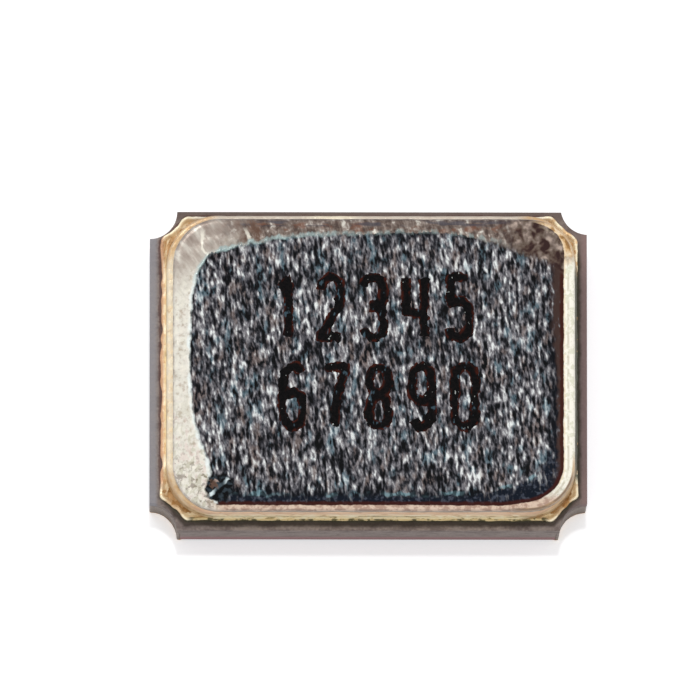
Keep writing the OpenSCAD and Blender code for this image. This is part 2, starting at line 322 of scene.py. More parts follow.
    def mix(self, share: Value, a: Value, b: Value) -> Socket:
        """Mixes two colours.

        Args:
            share: Share of the second one.
            a: First colour.
            b: Second colour.

        Returns:
            The socket of the mixture.
        """
        node = self.nodes.new("ShaderNodeMix")
        node.data_type = "RGBA"
        factor, first, second, mixture = 0, 6, 7, 2
        for index, value in ((factor, share), (first, a), (second, b)):
            self.feed(node.inputs[index], value)
        return node.outputs[mixture]

    def over(self, colour: Value, tone: Value, *shares: Value) -> Socket:
        """Lays a tone over a colour, as strongly as the product of the shares."""
        return self.mix(self.times(*shares), colour, tone)

    def zone(self, stain: Stain) -> Value:
        """Gives how strong a stain is at each place."""
        spans = ((self.x, stain.x), (self.y, stain.y), (self.z, stain.z))
        return self.times(stain.share, *(self.fade(axis, *span) for axis, along in spans for span in along))

    def stain(self, colour: Value, stain: Stain, *shares: Value) -> Socket:
        """Lays a stain over a colour, weakened by the product of the shares."""
        return self.over(colour, stain.tone, self.zone(stain), *shares)

    def ramp(self, height: Value, stops: Stops) -> Socket:
        """Turns a height into a colour.

        Args:
            height: What is read.
            stops: Heights with the tone at each.

        Returns:
            The socket of the colour.
        """
        node = self.nodes.new("ShaderNodeValToRGB")
        points = node.color_ramp.elements
        while len(points) < len(stops):
            points.new(1.0)
        for point, (place, tone) in zip(points, stops):
            point.position = place
            point.color = tone.linear
        self.feed(node.inputs["Fac"], height)
        return node.outputs["Color"]

    def curve(self, value: Value, points: Sequence[Span]) -> Socket:
        """Reads a given curve.

        Args:
            value: Place on the curve, from 0 to 1.
            points: The curve's points, with places and heights between 0 and 1.

        Returns:
            The socket of the height.
        """
        node = self.nodes.new("ShaderNodeFloatCurve")
        self.feed(node.inputs["Value"], value)
        line = node.mapping.curves[0]
        while len(line.points) < len(points):
            line.points.new(0.5, 0.5)
        for point, place in zip(line.points, points):
            point.location = place
        node.mapping.update()
        return node.outputs["Value"]

    def bump(self, height: Value, depth: float) -> Socket:
        """Makes a normal with relief.

        Args:
            height: The relief, from 0 to 1.
            depth: How deep it is, in millimetres.

        Returns:
            The socket of the normal.
        """
        node = self.nodes.new("ShaderNodeBump")
        node.inputs["Distance"].default_value = depth * MM
        node.inputs["Strength"].default_value = 1.0
        self.feed(node.inputs["Height"], height)
        return node.outputs["Normal"]


@dataclass(frozen=True)
class SealOutline:
    """The plated frame's outline, a rectangle with its corners cut off straight, as patterns read it."""

    seal: Box
    cut: tuple[float, float]
    corner_from: Span = (-0.22, -0.17)

    def overhang(self, p: Pattern) -> tuple[Socket, Socket]:
        """Measures how far a place is outside the lines of the short and of the long sides.

        Args:
            p: The pattern that reads it.

        Returns:
            The sockets of both distances, which are negative inside.
        """
        across = p.sum("ABSOLUTE", p.less(p.x, self.seal.middle.x))
        along = p.sum("ABSOLUTE", p.less(p.y, self.seal.middle.y))
        return p.less(across, self.seal.size.x / 2), p.less(along, self.seal.size.y / 2)

    def beyond(self, p: Pattern) -> Socket:
        """Measures how far a place is outside the outline.

        Args:
            p: The pattern that reads it.

        Returns:
            The socket of the distance, which is negative inside.
        """
        over_x, over_y = self.overhang(p)
        slant = Vector((self.cut[1], self.cut[0])).normalized()
        over_cut = p.sum("ADD", p.times(over_x, slant.x), p.times(over_y, slant.y))
        over_cut = p.sum("ADD", over_cut, slant.x * self.cut[0])
        return p.sum("MAXIMUM", over_cut, p.sum("MAXIMUM", over_x, over_y))

    def off_tip(self, p: Pattern) -> Socket:
        """Measures how far a place on a cut is from the cut's middle."""
        return p.sum("ABSOLUTE", p.less(*self.overhang(p)))

    def at_corner(self, p: Pattern) -> Socket:
        """Gives 1 around the four cuts and 0 along the sides."""
        return p.fade(p.sum("ADD", *self.overhang(p)), *self.corner_from)


# Finishes


@dataclass(frozen=True)
class AluminaFinish:
    """Fired alumina: matt, fine grained, in three pressed layers, with painted light and shade on its rims, a painted
    shadow on the top beside the frame's front and right edges and painted shade beside its other edges.
    """

    outline: SealOutline
    name: str = "fired_alumina"
    flecks: Grain = Grain(85, 3, 0.65)
    cloud: Grain = Grain((16, 30, 30), 3, 0.6)
    mid: Tone = Tone(123, 111, 107)
    pale: Tone = Tone(148, 137, 131)
    deep: Tone = Tone(96, 85, 82)
    # Tints by place. The paler, bluish left rim is painted light and the darker right rim is painted shade. The
    # others make the lower walls paler, a band at the right edge lighter and the back rim darker.
    faces: tuple[Stain, ...] = (
        Stain(Tone(148, 137, 131), 0.3, z=((0.26, 0.19),)),
        Stain(Tone(146, 145, 151), 0.85, x=((-0.764, -0.784),)),
        Stain(Tone(106, 90, 87), 0.6, x=((0.70, 0.77),)),
        Stain(Tone(137, 115, 113), 0.9, x=((0.768, 0.792),)),
        Stain(Tone(100, 86, 81), 0.85, y=((0.54, 0.57),)),
    )
    foot: Stain = Stain(Tone(153, 112, 113), z=((0.12, 0.07),))
    foot_front: Span = (-0.560, -0.583)
    foot_shares: Span = (0.25, 0.85)
    underside: Stain = Stain(Tone(114, 113, 131), 0.7, z=((0.020, 0.0155),))
    seams: tuple[float, ...] = (0.095, 0.205)
    seam_reach: float = 0.004
    seam_share: float = 0.25
    lower_y: Span = (-0.40, -0.50)
    lower_x: Span = (0.60, 0.72)
    # Painted shadow: a dark olive band on the top beside the plated frame's front and right edges, where the frame
    # casts its shadow.
    frame_shadow: Stain = Stain(Tone(56, 54, 40), 0.9, y=((0.50, 0.40),), z=((0.27, 0.282),))
    frame_shadow_run: Grain = Grain(24, 2, 0.6)
    frame_shadow_sway: float = 0.014
    frame_shadow_front: Span = (-0.50, -0.54)
    frame_shadow_reach: Span = (0.018, 0.028)
    frame_shadow_soft: float = 0.015
    outer_shadow_tone: Tone = Tone(58, 49, 43)
    outer_shadow_from: Span = (0.002, 0.010)
    # Painted shade: a thin dark line on the top beside the frame's back and left edges.
    frame_edge_shade: Stain = Stain(Tone(88, 60, 56), 0.7, z=((0.27, 0.282),))
    frame_edge_shade_from: Span = (0.009, 0.004)
    pores: float = 70.0
    relief: float = 0.0035

    def build(self) -> bpy.types.Material:
        """Makes the material.

        Returns:
            The material.
        """
        p = Pattern(self.name)
        flecks, cloud = p.grain(self.flecks), p.grain(self.cloud)
        colour = p.ramp(flecks, [(0.25, self.deep), (0.5, self.mid), (0.75, self.pale)])
        colour = p.over(colour, self.pale, p.fade(cloud, 0.42, 0.62, 0.0, 0.55))
        colour = p.over(colour, self.deep, p.fade(cloud, 0.5, 0.34, 0.0, 0.5))
        # Lays the tints by place, among them painted light on the left rim and painted shade on the right one.
        for face in self.faces:
            colour = p.stain(colour, face)
        colour = p.stain(colour, self.foot, p.fade(p.y, *self.foot_front, *self.foot_shares))
        colour = p.stain(colour, self.underside)
        for seam in self.seams:
            colour = p.over(colour, self.deep, p.near(p.z, seam, self.seam_reach), self.seam_share)
        # Paints the shadow beside the frame's front and right edges. burnt holds the shadow's tone, which turns
        # browner farther from the frame.
        beyond = p.sum("ADD", self.outline.beyond(p), p.sway(p.grain(self.frame_shadow_run), self.frame_shadow_sway))
        lower = p.sum("MAXIMUM", p.fade(p.y, *self.lower_y), p.fade(p.x, *self.lower_x))
        reach = p.fade(p.y, *self.frame_shadow_front, *self.frame_shadow_reach)
        spread = p.fade(beyond, reach, p.less(reach, self.frame_shadow_soft))
        burnt = p.mix(p.fade(beyond, *self.outer_shadow_from), self.frame_shadow.tone, self.outer_shadow_tone)
        colour = p.over(colour, burnt, spread, p.zone(self.frame_shadow), lower)
        # Paints the thin line of shade beside the frame's back and left edges.
        colour = p.stain(colour, self.frame_edge_shade, p.fade(beyond, *self.frame_edge_shade_from), p.less(1.0, lower))
        relief = p.bump(p.blend(0.7, flecks, p.cells(self.pores)), self.relief)
        p.surface(Base_Color=colour, Roughness=0.82, Specular_IOR_Level=0.35, Normal=relief)
        return p.material


@dataclass(frozen=True)
class PlatingFinish:
    """Gold plate over fired tungsten paste, pebbled by the paste's grains."""

    name: str = "gold_plate"
    mid: Tone = Tone(207, 158, 82)
    bright: Tone = Tone(250, 222, 152)
    deep: Tone = Tone(152, 104, 40)
    grains: float = 62.0
    roughness: float = 0.38
    depth: float = 0.005
    dull_from: float | None = None
    dull_climb: float = 0.012
    dull: Tone = Tone(132, 122, 116)

    def build(self) -> bpy.types.Material:
        """Makes the material.

        Returns:
            The material.
        """
        p = Pattern(self.name)
        pebble = p.grain(Grain(self.grains, 2, 0.5))
        fine = p.grain(Grain(self.grains * 3, 2, 0.6))
        height = p.blend(0.75, pebble, fine)
        colour = p.ramp(height, [(0.30, self.deep), (0.47, self.mid), (0.56, self.mid), (0.72, self.bright)])
        if self.dull_from is not None:
            up = p.shifted(p.z, pebble, self.dull_climb)
            dulled = p.fade(up, self.dull_from, self.dull_from + self.dull_climb, 0.0, 0.94)
            colour = p.over(colour, self.dull, dulled)
        p.surface(
            Base_Color=colour, Metallic=1.0,
            Roughness=p.fade(fine, 0.3, 0.7, self.roughness - 0.06, self.roughness + 0.12),
            Normal=p.bump(height, self.depth),
        )
        return p.material


@dataclass(frozen=True)
class FrameFinish:
    """Plated paste with braze run over it: its lumpy lip is pale braze with a painted highlight, the hollow behind
    the lip is painted brown as shade, and its right edge is dull and dark with painted shadow.

    A pair of tones holds the one at the front first and the one at the back second.
    """

    outline: SealOutline
    name: str = "frame_flash"
    flow: Grain = Grain(30, 3, 0.6, 0.6)
    fine: Grain = Grain(110, 2, 0.6)
    lump: Grain = Grain(48, 2, 0.5)
    back_y: Span = (0.36, 0.44)
    lower_y: Span = (0.1, -0.1)
    left_x: Span = (0.1, -0.1)
    trough: tuple[Tone, Tone] = (Tone(132, 96, 62), Tone(180, 144, 98))
    raised: tuple[Tone, Tone] = (Tone(204, 166, 120), Tone(216, 184, 138))
    raised_from: Span = (0.40, 0.58)
    lip_z: Span = (0.2955, 0.2975)
    # The lip's tones: pale braze with a painted highlight where the lip stands highest.
    lip_highlight_tones: tuple[Tone, Tone] = (Tone(238, 200, 158), Tone(253, 236, 208))
    lime: Tone = Tone(216, 212, 152)
    lime_patches: Grain = Grain(13, 1, 0.5)
    bead_lumps: Grain = Grain(34, 1, 0.5)
    # Painted highlight on the braze beads and on the lumps of the left shelf.
    crest_highlight: Tone = Tone(254, 241, 210)
    low: tuple[Tone, Tone] = (Tone(204, 166, 120), Tone(232, 196, 150))
    # Painted shade in the hollow behind the lip.
    hollow_shade: tuple[Tone, Tone] = (Tone(172, 132, 84), Tone(192, 156, 112))
    amber: Tone = Tone(184, 140, 88)
    amber_reach: Span = (0.070, 0.044)
    lip_w: float = 0.0195
    lip_sway: float = 0.022
    lip_soft: float = 0.005
    tip_at: float = 0.100
    tip_reach: float = 0.042
    tip_w: float = 0.012
    upper_left_w: float = 0.004
    blush: Tone = Tone(204, 160, 126)
    shelf: Stain = Stain(Tone(243, 214, 172), x=((-0.735, -0.740),), y=((0.54, 0.48), (-0.46, -0.40)))
    shelf_rise: float = 0.010
    blush_from: Span = (-0.751, -0.737)
    rear: Stain = Stain(Tone(208, 200, 188), 0.75, y=((0.545, 0.555),))
    rear_off: Span = (0.68, 0.62)
    lit: tuple[float, float, float] = (-0.095, 0.13, 0.55)
    lit_sway: float = 0.06
    front: Stain = Stain(Tone(206, 186, 140), y=((-0.5385, -0.5405),))
    front_off: Span = (0.67, 0.64)
    olive: Tone = Tone(96, 90, 60)
    # Painted shadow: the frame's right edge darkened to olive grey.
    right: Stain = Stain(Tone(100, 104, 90), x=((0.7570, 0.7585),), y=((0.38, 0.33), (-0.42, -0.38)))

    def beads(self, p: Pattern, lump: Socket, back: Socket, off_tip: Socket) -> tuple[Socket, Socket]:
        """Colours the lip at the corners, where the braze stands in beads.

        Args:
            p: The pattern that it is drawn with.
            lump: Height of the lumps.
            back: 1 at the back and 0 in front.
            off_tip: Distance from the middle of a corner's cut.

        Returns:
            The sockets of the colour and of the lip's width.
        """
        lower = p.fade(p.y, *self.lower_y)
        tip = p.times(p.near(off_tip, self.tip_at, self.tip_reach), lower)
        upper_left = p.times(back, p.fade(p.x, *self.left_x))
        crowded = p.times(p.sum("MAXIMUM", tip, upper_left), p.fade(lump, 0.30, 0.42))
        bead = p.sum("MAXIMUM", p.fade(p.grain(self.bead_lumps), 0.38, 0.50), crowded)
        width = p.shifted(p.shifted(self.lip_w, upper_left, self.upper_left_w), tip, self.tip_w)
        # The beads' crests carry a painted highlight.
        colour = p.mix(bead, p.mix(back, *self.low), self.crest_highlight)
        middle = p.times(p.fade(off_tip, *self.amber_reach), lower)
        return p.over(colour, self.amber, middle, p.fade(bead, 0.0, 1.0, 0.95, 0.6)), width

    def build(self) -> bpy.types.Material:
        """Makes the material.

        Returns:
            The material.
        """
        p = Pattern(self.name)
        flow, fine, lump = p.grain(self.flow), p.grain(self.fine), p.grain(self.lump)
        back = p.fade(p.y, *self.back_y)
        colour = p.mix(p.fade(flow, *self.raised_from), p.mix(back, *self.trough), p.mix(back, *self.raised))
        # Paints the top of the lip brighter: pale braze with a painted highlight.
        bright = p.mix(p.fade(lump, 0.40, 0.56), *self.lip_highlight_tones)
        bright = p.over(bright, self.lime, p.fade(p.grain(self.lime_patches), 0.56, 0.66, 0.0, 0.6))
        colour = p.over(colour, bright, p.fade(p.z, *self.lip_z))
        inwards = p.sum("MULTIPLY", self.outline.beyond(p), -1.0)
        inwards = p.sum("ADD", inwards, p.sway(lump, self.lip_sway))
        beads, width = self.beads(p, lump, back, self.outline.off_tip(p))
        # Behind the lip: painted shade in the hollow, broken up by the flow noise.
        behind = p.mix(p.fade(flow, 0.42, 0.56), p.mix(back, *self.hollow_shade), p.mix(back, *self.low))
        band = p.fade(inwards, width, p.less(width, self.lip_soft))
        colour = p.over(colour, p.mix(band, behind, beads), self.outline.at_corner(p))
        # The shelf's lumps carry a painted highlight.
        shelf = p.mix(p.fade(lump, 0.38, 0.50), self.shelf.tone, self.crest_highlight)
        shelf = p.mix(p.fade(p.shifted(p.x, flow, self.shelf_rise), *self.blush_from), self.blush, shelf)
        colour = p.over(colour, shelf, p.zone(self.shelf), p.fade(flow, 0.30, 0.40, 0.55, 1.0))
        lit_x, lit_half, lit_share = self.lit
        lit = p.near(p.shifted(p.x, flow, self.lit_sway), lit_x, lit_half)
        rear = p.over(self.rear.tone, self.lip_highlight_tones[1], lit, lit_share)
        colour = p.over(colour, rear, p.zone(self.rear), p.fade(p.far(p.x), *self.rear_off))
        front = p.mix(p.fade(lump, 0.46, 0.62), self.front.tone, self.olive)
        colour = p.over(colour, front, p.zone(self.front), p.fade(p.far(p.x), *self.front_off))
        # Paints the shadow along the frame's right edge.
        colour = p.stain(colour, self.right, p.fade(flow, 0.68, 0.58))
        p.surface(
            Base_Color=colour, Metallic=0.7, Roughness=p.fade(fine, 0.3, 0.7, 0.34, 0.52),
            Normal=p.bump(p.blend(0.6, flow, fine), 0.004),
        )
        return p.material


@dataclass(frozen=True)
class WallFinish:
    """Thin gold flash over nickel on the ring and on the braze that climbs it, streaked along the wall, with painted
    shade on its right side.
    """

    name: str
    mid: Tone
    bright: Tone
    deep: Tone
    back: Tone
    side: Tone
    corner: Tone
    # Painted shade: the tone laid over the right side of the wall.
    right: Tone
    upper: Tone
    top_z: float
    flow: Grain = Grain(26, 3, 0.6, 0.6)
    fine: Grain = Grain(120, 2, 0.6)
    mottle: Grain = Grain(40, 2, 0.6)
    lit: tuple[float, float, float] = (-0.095, 0.13, 0.5)
    lit_sway: float = 0.06
    back_y: Span = (0.48, 0.53)
    side_off: Span = (0.68, 0.73)
    corner_off: Span = (1.08, 1.15)
    right_x: Span = (0.7460, 0.7525)
    right_ends: tuple[Span, Span] = ((0.42, 0.32), (-0.46, -0.34))
    upper_z: Span = (0.350, 0.410)
    upper_y: Span = (-0.50, -0.53)
    matt_corner: Span = (1.06, 1.12)

    def build(self) -> bpy.types.Material:
        """Makes the material.

        Returns:
            The material.
        """
        p = Pattern(self.name)
        flow, fine = p.grain(self.flow), p.grain(self.fine)
        colour = p.ramp(flow, [(0.34, self.deep), (0.46, self.mid), (0.62, self.bright)])
        lit_x, lit_half, lit_share = self.lit
        lit = p.near(p.shifted(p.x, flow, self.lit_sway), lit_x, lit_half)
        back = p.over(self.back, self.bright, lit, lit_share)
        colour = p.over(colour, back, p.fade(p.y, *self.back_y, 0.0, 0.85))
        mottled = p.fade(p.grain(self.mottle), 0.38, 0.58, 0.35, 0.95)
        colour = p.over(colour, self.side, p.fade(p.far(p.x), *self.side_off), mottled)
        corner = p.fade(p.sum("ADD", p.far(p.x), p.far(p.y)), *self.corner_off)
        colour = p.over(colour, self.corner, corner, p.fade(flow, 0.35, 0.60, 1.0, 0.7))
        # Paints shade over the right side of the wall.
        ends = (p.fade(p.y, *end) for end in self.right_ends)
        colour = p.over(colour, self.right, p.fade(p.x, *self.right_x), *ends)
        colour = p.over(colour, self.upper, p.fade(p.z, *self.upper_z), p.fade(p.y, *self.upper_y), 0.75)
        wall = p.fade(p.z, self.top_z, self.top_z - 0.010)
        matt = p.sum("MAXIMUM", wall, p.fade(p.sum("ADD", p.x, p.y), *self.matt_corner))
        p.surface(
            Base_Color=colour, Metallic=p.fade(matt, 0.0, 1.0, 0.9, 0.4),
            Roughness=p.sum("ADD", p.fade(fine, 0.3, 0.7, 0.28, 0.46), p.times(matt, 0.25)),
            Normal=p.bump(p.blend(0.6, flow, fine), 0.003),
        )
        return p.material


@dataclass(frozen=True)
class Patch:
    """A tint that a noise lets through between two heights, with its strength at both ends of a span of Y."""

    tone: Tone
    heights: Span
    y: Span
    shares: Span

    def lay(self, p: Pattern, colour: Value, height: Value, tone: Value | None = None) -> Socket:
        """Lays the patch over a colour.

        Args:
            p: The pattern that it is drawn with.
            colour: What it lies on.
            height: The noise that it follows.
            tone: Another colour to lay instead of its own.

        Returns:
            The socket of the new colour.
        """
        return p.over(colour, tone or self.tone, p.fade(height, *self.heights), p.fade(p.y, *self.y, *self.shares))


@dataclass(frozen=True)
class LidFinish:
    """Rolled lid metal: dark and streaked in the middle, bright where the weld wheels ran.

    Places and widths are in millimetres, and the curves of the dark field's
    left and upper edge are drawn over a span that is a little longer than the lid.
    """

    name: str = "lid_metal"
    middle: tuple[float, float] = (0.018, -0.001)
    half: tuple[float, float] = (0.7335, 0.5375)
    corner_r: float = 0.17

    black: Tone = Tone(7, 8, 10)
    ink: Tone = Tone(35, 36, 41)
    grey: Tone = Tone(82, 81, 86)
    ash: Tone = Tone(136, 134, 138)
    glint: Tone = Tone(232, 236, 234)
    navy: Tone = Tone(14, 22, 34)
    petrol: Tone = Tone(84, 128, 142)
    rust: Tone = Tone(136, 110, 94)
    silver: Tone = Tone(227, 223, 212)
    sand: Tone = Tone(192, 180, 164)
    mottle: Tone = Tone(128, 113, 105)
    wine: Tone = Tone(100, 76, 64)
    cream: Tone = Tone(244, 239, 224)
    teal: Tone = Tone(176, 202, 202)
    frost: Tone = Tone(240, 248, 246)
    red: Tone = Tone(60, 22, 15)

    blotch: Grain = Grain(30, 3, 0.6)
    fine: Grain = Grain(70, 2, 0.6)
    scratches: Grain = Grain((13, 52, 1), 2, 0.5, turn=52)

    streaks: Grain = Grain((92, 31, 1), 0.6, 0.5, 0.3, -5, (3, 7, 0))
    short_streaks: Grain = Grain((150, 70, 1), 1, 0.5, 0.3, -16, (11, 5, 0))
    clouds: Grain = Grain(9, 2, 0.5)
    tints: Grain = Grain((34, 15, 1), 2, 0.5, shift=(5, 1, 0))
    long_share: float = 0.70
    cloud_lift: float = 0.03
    dark_drop: float = 0.10
    navy_share: float = 0.35

    left_edge: tuple[Span, ...] = (
        (0.0, 0.66), (0.10, 0.64), (0.13, 0.56), (0.19, 0.51), (0.25, 0.375), (0.34, 0.235), (0.5, 0.16),
        (0.6, 0.165), (0.72, 0.215), (0.84, 0.50), (1.0, 1.0),
    )
    top_edge: tuple[Span, ...] = (
        (0.0, 0.2), (0.13, 0.53), (0.185, 0.66), (0.255, 0.765), (0.32, 0.86), (0.45, 0.90), (0.67, 0.935),
        (0.78, 0.79), (0.845, 0.65), (0.96, 0.22),
    )
    edge_span: tuple[float, float] = (1.6, 1.2)
    edge_rise: float = 0.2
    left_base: float = -0.69
    top_base: float = 0.30
    wobbles: Grain = Grain(26, 3, 0.6)
    wobble: float = 0.022
    comb: Grain = Grain((46, 16, 1), 2, 0.5, 0.3, -5, (8, 2, 0))
    comb_size: float = 0.03
    right_rim: tuple[float, float, float, float] = (0.46, 0.70, 0.018, 0.0405)
    soft: tuple[float, float, float, float] = (0.30, 0.55, 0.006, 0.035)

    shade: Stain = Stain(Tone(14, 22, 34), y=((-0.26, -0.40),))
    shade_reach: tuple[float, float, float, float] = (0.84, 1.06, 0.036, 0.088)
    shade_from: Span = (0.006, -0.012)
    shade_mottle: Tone = Tone(84, 90, 104)
    shade_spots: Grain = Grain(46, 2, 0.6)
    shade_rim: Stain = Stain(Tone(128, 166, 176), 0.6, y=((-0.30, -0.42),))
    shade_rim_at: Span = (0.006, 0.011)
    shade_rim_gaps: Grain = Grain(15, 2, 0.5)
    burn: Stain = Stain(Tone(70, 52, 47), x=((0.52, 0.64),), y=((-0.46, -0.36),))
    burn_reach: tuple[float, float, float, float] = (-0.10, 0.22, 0.032, 0.060)
    red_from: Span = (0.019, 0.010)
    halo: Grain = Grain(20, 2, 0.5)
    halo_at: Span = (0.001, 0.011)
    halo_x: Span = (0.0, -0.35)
    halo_y: Span = (0.24, 0.38)
    fringe: Stain = Stain(Tone(146, 160, 158), 0.6, x=((0.55, 0.40),))
    fringe_at: Span = (0.003, 0.013)

    worn: Patch = Patch(Tone(128, 113, 105), (0.56, 0.72), (0.20, 0.36), (0.08, 0.3))
    smudges: Grain = Grain((54, 34, 1), 1, 0.5, 0.4, 12, (4, 2, 0))
    olive_smudge: Patch = Patch(Tone(196, 192, 172), (0.50, 0.38), (-0.08, -0.36), (0.15, 0.7))
    pink_smudge: Patch = Patch(Tone(226, 206, 198), (0.54, 0.66), (-0.06, -0.30), (0.1, 0.5))
    pits: Grain = Grain(52, 3, 0.6)
    pitted: Patch = Patch(Tone(122, 112, 88), (0.46, 0.37), (-0.24, -0.42), (0.0, 0.75))
    pit_grey: Tone = Tone(150, 138, 130)

    top_comb: Grain = Grain((60, 15, 1), 2, 0.6, turn=-16)
    top_fine: Grain = Grain(44, 2, 0.55, 0.4)
    top_tones: Stops = (
        (0.38, Tone(80, 67, 62)), (0.45, Tone(104, 90, 83)), (0.51, Tone(126, 113, 105)), (0.57, Tone(156, 144, 136)),
        (0.66, Tone(227, 223, 212)),
    )
    umber: Tone = Tone(88, 75, 70)
    umber_from: Span = (0.036, 0.012)
    rust_spots: Grain = Grain((20, 30, 1), 2, 0.5, shift=(6, 3, 0))
    spotted: Stain = Stain(Tone(122, 82, 64), 0.7, y=((0.524, 0.514), (0.478, 0.490)))
    slate_bars: Grain = Grain((10, 60, 1), 2, 0.5, shift=(1, 4, 0))
    barred: Stain = Stain(Tone(74, 72, 80), 0.75, y=((0.503, 0.511), (0.530, 0.524)))
    scars_lean: float = 0.43
    scars_sway: float = 0.020
    burnt_scar: Span = (-0.262, 0.022)
    combed_scar: Span = (-0.205, 0.034)
    bright_scar: Span = (-0.239, 0.009)
    bright_scar_tint: Stain = Stain(Tone(244, 239, 224), 0.7, y=((0.448, 0.470), (0.508, 0.480)))

    shoulder_tones: Stops = ((0.36, Tone(148, 134, 125)), (0.50, Tone(176, 164, 154)), (0.68, Tone(216, 210, 199)))
    shoulder_lean: float = 0.6
    shoulder_from: Span = (0.76, 0.90)
    top_from_x: Span = (-0.50, -0.26)
    left_from_y: Span = (0.42, 0.30)

    blobs: Grain = Grain((33, 30, 1), 1, 0.5, 0.4, shift=(2, 9, 0))
    burnt_tones: Stops = (
        (0.40, Tone(54, 36, 34)), (0.46, Tone(80, 62, 55)), (0.53, Tone(104, 90, 80)), (0.60, Tone(128, 113, 105)),
        (0.70, Tone(178, 160, 148)),
    )
    burnt_x: Span = (0.50, 0.62)
    burnt_y: Span = (0.14, 0.24)

    crook: Grain = Grain(34, 1, 0.5)
    crook_size: float = 0.030
    crook_bend: tuple[float, float, float, float] = (0.430, 0.380, 0.0, 0.022)
    bead: Stain = Stain(Tone(244, 239, 224), 0.8, y=((0.380, 0.40), (0.500, 0.47)))
    bead_at: Span = (-0.6065, 0.009)

    low: Stain = Stain(Tone(180, 150, 133), x=((-0.60, -0.52),), y=((-0.470, -0.505),))
    low_pale: Tone = Tone(220, 196, 176)

    strip: Stain = Stain(Tone(230, 228, 208), x=((0.58, 0.66),), y=((-0.50, -0.42),))
    strip_w: tuple[float, float, float, float] = (0.34, 0.52, 0.0365, 0.010)
    strip_sway: float = 0.010
    strip_bright: Tone = Tone(253, 249, 236)
    lumps: Grain = Grain(44, 2, 0.5, 0.5)
    gold_tones: Stops = (
        (0.36, Tone(160, 120, 74)), (0.46, Tone(206, 168, 118)), (0.55, Tone(226, 190, 146)), (0.66, Tone(250, 228, 194)),
    )
    gold_y: Span = (0.40, 0.47)
    inner_tone: Tone = Tone(240, 218, 184)
    inner_from: Span = (0.009, 0.002)
    groove: Stain = Stain(Tone(186, 174, 152), 0.55, x=((0.60, 0.68),))
    groove_at: Span = (0.025, 0.006)
    round_low: Stain = Stain(Tone(206, 170, 122), 0.75)
    round_corner: Span = (1.06, 1.12)
    round_from: Span = (0.012, 0.008)
    # Painted shade: a darker line just inside the lid's edge at its corner of most X and least Y.
    corner_edge_shade: Stain = Stain(Tone(128, 108, 94), y=((-0.38, -0.43),))
    corner_edge_shade_at: Span = (0.006, 0.006)
    corner_edge_shade_corner: Span = (1.02, 1.08)
    # Painted shade: a grey line along the lid's outer edge, where its shoulder turns down, everywhere but the right.
    seam: Stain = Stain(Tone(128, 113, 105), x=((0.70, 0.60),))
    shoulder_shade_from: Span = (0.007, 0.003)

    dent_at: tuple[float, float] = (-0.546, -0.455)
    dent_edge: Grain = Grain(40, 2, 0.5)
    dent_sway: float = 0.04
    dent_r: Span = (0.078, 0.064)
    scuffs: Grain = Grain(46, 2, 0.6)
    scuff: Tone = Tone(58, 70, 78)
    spot_off: tuple[float, float] = (-0.018, 0.014)
    spot_r2: float = 0.0008
    spot_edge: Grain = Grain(52, 2, 0.6)
    spot_sway: float = 0.0020
    spot_from: Span = (0.0006, 0.0003)
    spot_light: Tone = Tone(178, 156, 146)
    slash: tuple[float, float] = (0.66, 0.75)
    slash_rough: Grain = Grain(38, 2, 0.6)
    slash_sway: float = 0.020
    slash_at: Span = (0.008, 0.0085)
    slash_r: Span = (0.070, 0.058)
    slash_middle: float = 0.002
    slash_tones: tuple[Tone, Tone] = (Tone(74, 108, 126), Tone(222, 234, 236))

    side_drawn: Grain = Grain((24, 24, 170), 2, 0.6)
    side_fine: Grain = Grain(36, 2, 0.6)
    side_tones: Stops = ((0.38, Tone(150, 138, 126)), (0.50, Tone(192, 180, 164)), (0.64, Tone(226, 219, 205)))
    side_foot: Stain = Stain(Tone(128, 113, 105), 0.6, z=((0.440, 0.433),))
    side_gold: Stain = Stain(Tone(206, 168, 118), 0.85, x=((0.48, 0.58),), y=((0.24, 0.36),))
    side_from: Span = (0.478, 0.466)

    def into(self, p: Pattern) -> Socket:
        """Measures how far a place is from the lid's outline.

        Args:
            p: The pattern that it is drawn with.

        Returns:
            The socket of the distance, which is 0 on the outline.
        """
        across = p.less(p.sum("ABSOLUTE", p.less(p.x, self.middle[0])), self.half[0] - self.corner_r)
        along = p.less(p.sum("ABSOLUTE", p.less(p.y, self.middle[1])), self.half[1] - self.corner_r)
        out_x, out_y = p.sum("MAXIMUM", across), p.sum("MAXIMUM", along)
        beyond = p.sum("SQRT", p.sum("ADD", p.times(out_x, out_x), p.times(out_y, out_y)))
        within = p.sum("MINIMUM", p.sum("MAXIMUM", across, along))
        return p.less(self.corner_r, p.sum("ADD", beyond, within))

    def field(self, p: Pattern, dark: Socket) -> tuple[Socket, Socket]:
        """Builds the streaked middle.

        Args:
            p: The pattern that it is drawn with.
            dark: Socket of 0 to 1 that takes the streaks back to navy.

        Returns:
            The sockets of its colour and its relief.
        """
        height = p.blend(self.long_share, p.grain(self.streaks), p.grain(self.short_streaks))
        cloud = p.fade(p.grain(self.clouds), 0.3, 0.7, -self.cloud_lift, self.cloud_lift)
        height = p.less(p.sum("ADD", height, cloud), p.times(dark, self.dark_drop))
        colour = p.ramp(height, [
            (0.345, self.black), (0.425, self.ink), (0.502, self.grey), (0.592, self.ash), (0.71, self.glint),
        ])
        tint = p.grain(self.tints)
        body = p.fade(height, 0.38, 0.50)
        colour = p.over(colour, self.petrol, p.fade(tint, 0.54, 0.70, 0.0, 0.38), body)
        colour = p.over(colour, self.rust, p.fade(tint, 0.46, 0.30, 0.0, 0.30), body)
        return p.over(colour, self.navy, dark, self.navy_share), height

